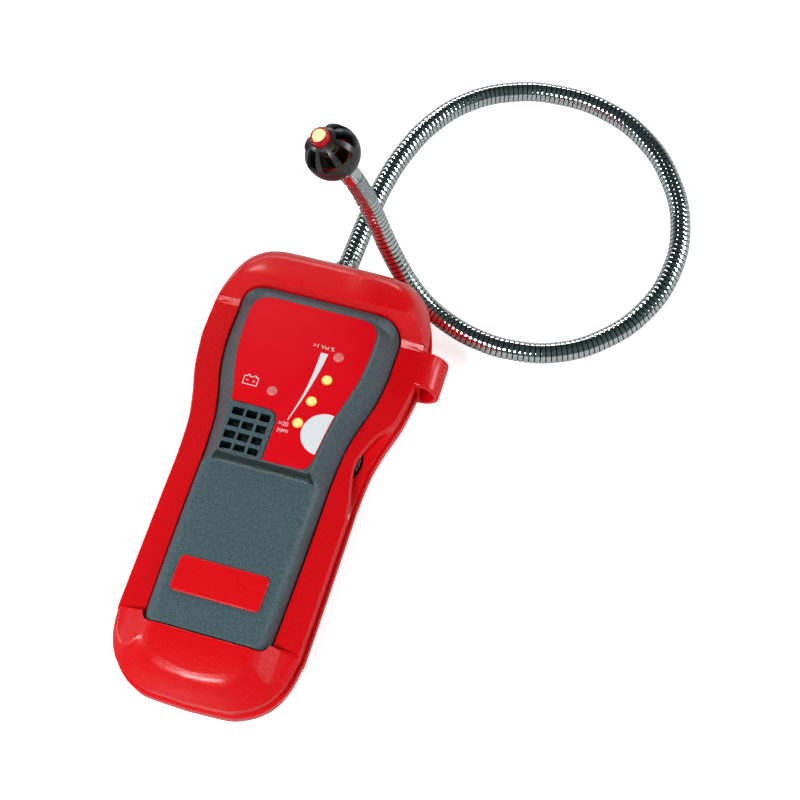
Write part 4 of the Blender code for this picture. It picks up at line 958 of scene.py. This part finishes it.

# %% [markdown]
# ## Gooseneck
# A flexible metal hose shows as many narrow rings with grooves between them, which are darkened by
# painted shade.
# Its route is a list of points, joined by a smooth curve, and the
# same list makes the CAD solid. A ring is a small table of shares of the pitch,
# depths and how dark the groove is there. The rings are finer near the head, as
# in the photograph. A helix would need a longer sum and look the same.

# %% Gooseneck
NECK_RADIUS = 4.7 * MM
NECK_PITCH = 2.35 * MM
FINE_PITCH = 1.25 * MM
FINE_LENGTH = 18.0 * MM
# The third column of a ring is painted shade: how far the chrome's base colour is darkened there.
RING = np.array([(0.0, 0.42, 1.0), (0.13, 0.42, 1.0), (0.17, 0.08, 0.1), (0.28, 0.036, 0.0),
                 (0.42, 0.008, 0.0), (0.56, 0.0, 0.0), (0.70, 0.008, 0.0), (0.85, 0.036, 0.0),
                 (0.96, 0.08, 0.1)])
FINE_SHARE = np.array([0.0, 0.20, 0.27, 0.36, 0.48, 0.60, 0.74, 0.86, 0.94])
HEAD_CENTRE = Vector((-4.1, 118.1, 98.5)) * MM
HEAD_AXIS = Vector((-0.33, -0.12, 0.936)).normalized()
SLEEVE_END = -20.2 * MM
NECK_ROUTE = [
    (0.0, 110.8, 20.4), (0.4, 124.0, 20.3), (1.0, 139.8, 20.0), (2.6, 158.5, 19.9),
    (6.6, 176.6, 20.5), (14.5, 195.8, 21.0), (27.4, 213.0, 20.5), (46.7, 225.8, 18.9),
    (69.0, 230.9, 17.5), (91.8, 228.4, 16.8), (113.0, 217.4, 16.5), (129.6, 198.9, 15.7),
    (139.5, 176.5, 13.7), (140.6, 152.9, 10.6), (133.2, 131.5, 7.2), (119.2, 114.3, 5.4),
    (101.0, 102.1, 5.4), (80.1, 97.2, 6.0), (64.0, 98.4, 6.1), (50.3, 102.3, 6.6),
    (38.4, 106.9, 10.0), (29.6, 111.0, 16.6), (22.8, 114.9, 25.4), (16.9, 118.7, 35.0),
    (12.0, 121.6, 46.4), (7.4, 122.3, 61.6)]


def neck_path(stops):
    """Points of a smooth curve through the stops, from Blender's own Bezier handles."""
    drawn = bpy.data.curves.new("neck_line", "CURVE")
    drawn.dimensions = "3D"
    drawn.resolution_u = 30
    spline = drawn.splines.new("BEZIER")
    spline.bezier_points.add(len(stops) - 1)
    for point, stop in zip(spline.bezier_points, stops):
        point.co = stop
        point.handle_left_type = "AUTO"
        point.handle_right_type = "AUTO"
    holder = placed("neck_line", drawn)
    bpy.context.view_layer.update()
    mesh = bpy.data.meshes.new_from_object(holder)
    points = np.zeros(len(mesh.vertices) * 3)
    mesh.vertices.foreach_get("co", points)
    bpy.data.objects.remove(holder, do_unlink=True)
    return points.reshape(-1, 3)


def hose(name, route, steps):
    """Rings across a route. At the distance s and angle t a point stands off the
    route by the radius less the ring's depth there, along cos t n + sin t b, where n
    and b are square to the route; both come from cross products."""
    gaps = np.linalg.norm(np.diff(route, axis=0), axis=1)
    along = np.concatenate([[0.0], np.cumsum(gaps)])
    coarse = along[-1] - FINE_LENGTH
    starts = np.concatenate([
        np.linspace(0.0, coarse, round(coarse / NECK_PITCH), endpoint=False),
        np.linspace(coarse, along[-1], round(FINE_LENGTH / FINE_PITCH), endpoint=False)])
    wide = np.diff(np.append(starts, along[-1]))[:, None]
    fine = wide < (NECK_PITCH + FINE_PITCH) / 2.0
    share = np.where(fine, FINE_SHARE, RING[:, 0])
    s = np.append((starts[:, None] + wide * share).reshape(-1), along[-1])
    depth = np.append((np.minimum(wide / NECK_PITCH, 1.0) * RING[:, 1] * MM).reshape(-1), 0.4 * MM)
    tangent = np.gradient(route, along, axis=0)
    centre = np.stack([np.interp(s, along, route[:, i]) for i in range(3)], axis=1)
    ahead = np.stack([np.interp(s, along, tangent[:, i]) for i in range(3)], axis=1)
    ahead /= np.linalg.norm(ahead, axis=1)[:, None]
    normal = np.cross(ahead, (0.70, -0.10, 0.70))
    normal /= np.linalg.norm(normal, axis=1)[:, None]
    side = np.cross(ahead, normal)
    turn = np.linspace(0.0, 2.0 * np.pi, steps, endpoint=False)
    reach = (NECK_RADIUS - depth)[:, None, None]
    points = centre[:, None, :] + reach * (np.cos(turn)[None, :, None] * normal[:, None, :]
                                           + np.sin(turn)[None, :, None] * side[:, None, :])
    made = skin(name, points, round_v=True, caps=True, angle=45.0)
    # The groove attribute carries the painted shade of the grooves into the chrome's base colour.
    groove = np.append(np.tile(RING[:, 2], len(starts)), 1.0)
    mark(made, "groove", np.repeat(groove, steps))
    return made, along[-1]


neck_end = HEAD_CENTRE + HEAD_AXIS * (SLEEVE_END - 0.3 * MM)
route = neck_path([Vector(point) * MM for point in NECK_ROUTE] + [neck_end])
neck, neck_length = hose("neck_hose", route, 32)
dress(neck, HOSE_CHROME, "case", ["gooseneck"])
print("gooseneck length in mm:", round(neck_length / MM, 1))

# %% [markdown]
# ## Gland and sensor head
# A plated gland holds the hose where it leaves the case. At the far end a tapered
# sleeve carries a ribbed plastic ball with the gas sensor inside, and a lamp in a
# clear red collar sits on its pole; the collar has a weak painted glow. A small red
# ring inside the ball, with the same painted glow, gives the glints in its windows.
# They are all turned about the head's own axis.

# %% Gland and sleeve
GLAND = np.array([(4.9, 110.4), (5.5, 110.4), (5.9, 110.0), (5.9, 98.6), (4.9, 98.6),
                  (4.9, 110.4)]) * MM
gland = turned("gland", GLAND, 48, GLAND_FRAME)
dress(gland, CHROME, "case", ["neck_gland"])
HEAD_FRAME = (Matrix.Translation(HEAD_CENTRE)
              @ HEAD_AXIS.to_track_quat("Z", "X").to_matrix().to_4x4())
taper = through([(5.3, -8.8), (5.45, -10.6), (5.35, -12.0), (4.95, -14.5), (4.7, -17.0),
                 (4.65, -20.2)], 4) * MM
sleeve = turned("probe_sleeve", np.vstack([[(0.0, -8.8 * MM)], taper, [(0.0, -20.2 * MM)]]), 48,
                HEAD_FRAME)
dress(sleeve, CHROME, "case", ["head_sleeve"])

# %% Ribbed ball
HEAD_RADIUS = 10.6 * MM
RIBS = 8


def ball(name, first, last, window):
    """A sphere by polar angle p and angle round t, with a window left open in each of
    its sectors: the columns gather on the window's sides, so its edges stay clean."""
    polar = np.unique(np.concatenate([np.linspace(first, window[0], 5),
                                      np.linspace(window[0], window[1], 12),
                                      np.linspace(window[1], last, 18)]))
    pane = np.concatenate([np.linspace(-1.0, -0.67, 4)[:-1], np.linspace(-0.67, 0.67, 9),
                           np.linspace(0.67, 1.0, 4)[1:-1]])
    half = np.pi / RIBS
    turn = (2.0 * half * np.arange(RIBS)[:, None] + pane[None, :] * half).reshape(-1)
    p, t = np.meshgrid(polar, turn, indexing="ij")
    points = HEAD_RADIUS * np.stack([np.sin(p) * np.cos(t), np.sin(p) * np.sin(t), np.cos(p)], -1)
    rows, size = p.shape
    index = np.arange(rows * size).reshape(rows, size)
    quads = np.stack([index[:-1], np.roll(index[:-1], -1, 1), np.roll(index[1:], -1, 1), index[1:]],
                     axis=-1)
    middle = (polar[:-1] + polar[1:]) / 2.0
    column = np.tile(np.arange(len(pane)), RIBS)
    in_rows = (middle > window[0]) & (middle < window[1])
    in_columns = (column >= 3) & (column < 11)
    keep = ~(in_rows[:, None] & in_columns[None, :])
    matrix = np.array(HEAD_FRAME)
    points = points.reshape(-1, 3) @ matrix[:3, :3].T + matrix[:3, 3]
    mesh = bpy.data.meshes.new(name)
    mesh.from_pydata(points.tolist(), [], quads[keep].reshape(-1, 4).tolist())
    form = bmesh.new()
    form.from_mesh(mesh)
    bmesh.ops.delete(form, geom=[v for v in form.verts if not v.link_faces], context="VERTS")
    form.to_mesh(mesh)
    form.free()
    return placed(name, mesh)


cage = ball("probe_cage", math.radians(22.8), math.radians(149.4),
            (math.radians(31.0), math.radians(79.0)))
wall = cage.modifiers.new("wall", "SOLIDIFY")
wall.thickness = 1.3 * MM
wall.offset = -1.0
worked(cage, 40.0)
dress(cage, BLACK, "case", ["head_cage"])
print("cage faces:", len(cage.data.polygons))

# %% Lamp of the head and the sensor
COLLAR = np.array([(3.2, 13.7), (3.4, 13.9), (3.8, 13.8), (4.1, 13.3), (4.1, 8.4), (3.2, 8.4),
                   (3.2, 13.7)]) * MM
collar = turned("probe_collar", COLLAR, 48, HEAD_FRAME)
dress(collar, RED_CLEAR, "case", ["led_collar"])
turn = np.linspace(0.0, np.pi / 2.0, 11)
tip = np.stack([2.9 * MM * np.sin(turn), 12.9 * MM + 2.7 * MM * np.cos(turn)], axis=1)
lamp_tip = turned("probe_lamp", np.vstack([tip, [(2.9 * MM, 6.6 * MM), (0.0, 6.6 * MM)]]), 48,
                  HEAD_FRAME)
dress(lamp_tip, LENS_HEAD, "case", ["head_led"])
# The ring is given the red finish's painted glow, which shows as red glints in the ball's windows.
GUIDE = np.array([(6.9, -3.4), (7.5, -3.4), (7.5, -1.9), (6.9, -1.9), (6.9, -3.4)]) * MM
guide = turned("light_guide", GUIDE, 48, HEAD_FRAME)
dress(guide, RED_CLEAR, "case")
polished("sensor_can", "gas_sensor", SMOKED)
polished("sensor_board", "sensor_base", PROBE_BOARD)

# %% [markdown]
# ## Thumbwheel and the inside
# The black wheel shows its knurled edge in the scoop. What the case holds is seen
# only with the battery door off, so those pieces keep their CAD solids and only
# get proper finishes.

# %% Thumbwheel and inside
KNURLS = 30
KNURL_DEPTH = 0.35 * MM
turn = np.linspace(0.0, 2.0 * np.pi, KNURLS * 10, endpoint=False)
radius = WHEEL_RADIUS - KNURL_DEPTH * (1.0 + np.cos(turn * KNURLS)) / 2.0
rim_steps = [(0.0, wheel_low[2]), (0.8, wheel_low[2]), (0.96, wheel_low[2] + 0.1 * MM),
             (1.0, wheel_low[2] + 0.5 * MM), (1.0, wheel_high[2] - 0.5 * MM),
             (0.96, wheel_high[2] - 0.1 * MM), (0.8, wheel_high[2]), (0.0, wheel_high[2])]
wheel_rows = np.array([np.stack([WHEEL_CENTRE[0] + radius * part * np.cos(turn),
                                 WHEEL_CENTRE[1] + radius * part * np.sin(turn),
                                 np.full(len(turn), z)], axis=1) for part, z in rim_steps])
wheel = skin("thumb_wheel", wheel_rows, round_v=True, merge=0.000001)
dress(wheel, BLACK, "wheel", ["thumbwheel"])

INSIDE = {"circuit_board": BOARD_GREEN, "buzzer": BLACK, "controller_chip": BLACK,
          "potentiometer": STEEL, "battery_tray": BLACK, "contact_upper": STEEL,
          "contact_lower": STEEL, "cell_1": JACKET, "cell_2": JACKET, "cell_3": JACKET,
          "cell_4": JACKET}
for node, material in INSIDE.items():
    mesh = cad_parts[node].data
    for index in range(len(mesh.materials)):
        mesh.materials[index] = material
print("inside pieces:", len(INSIDE))
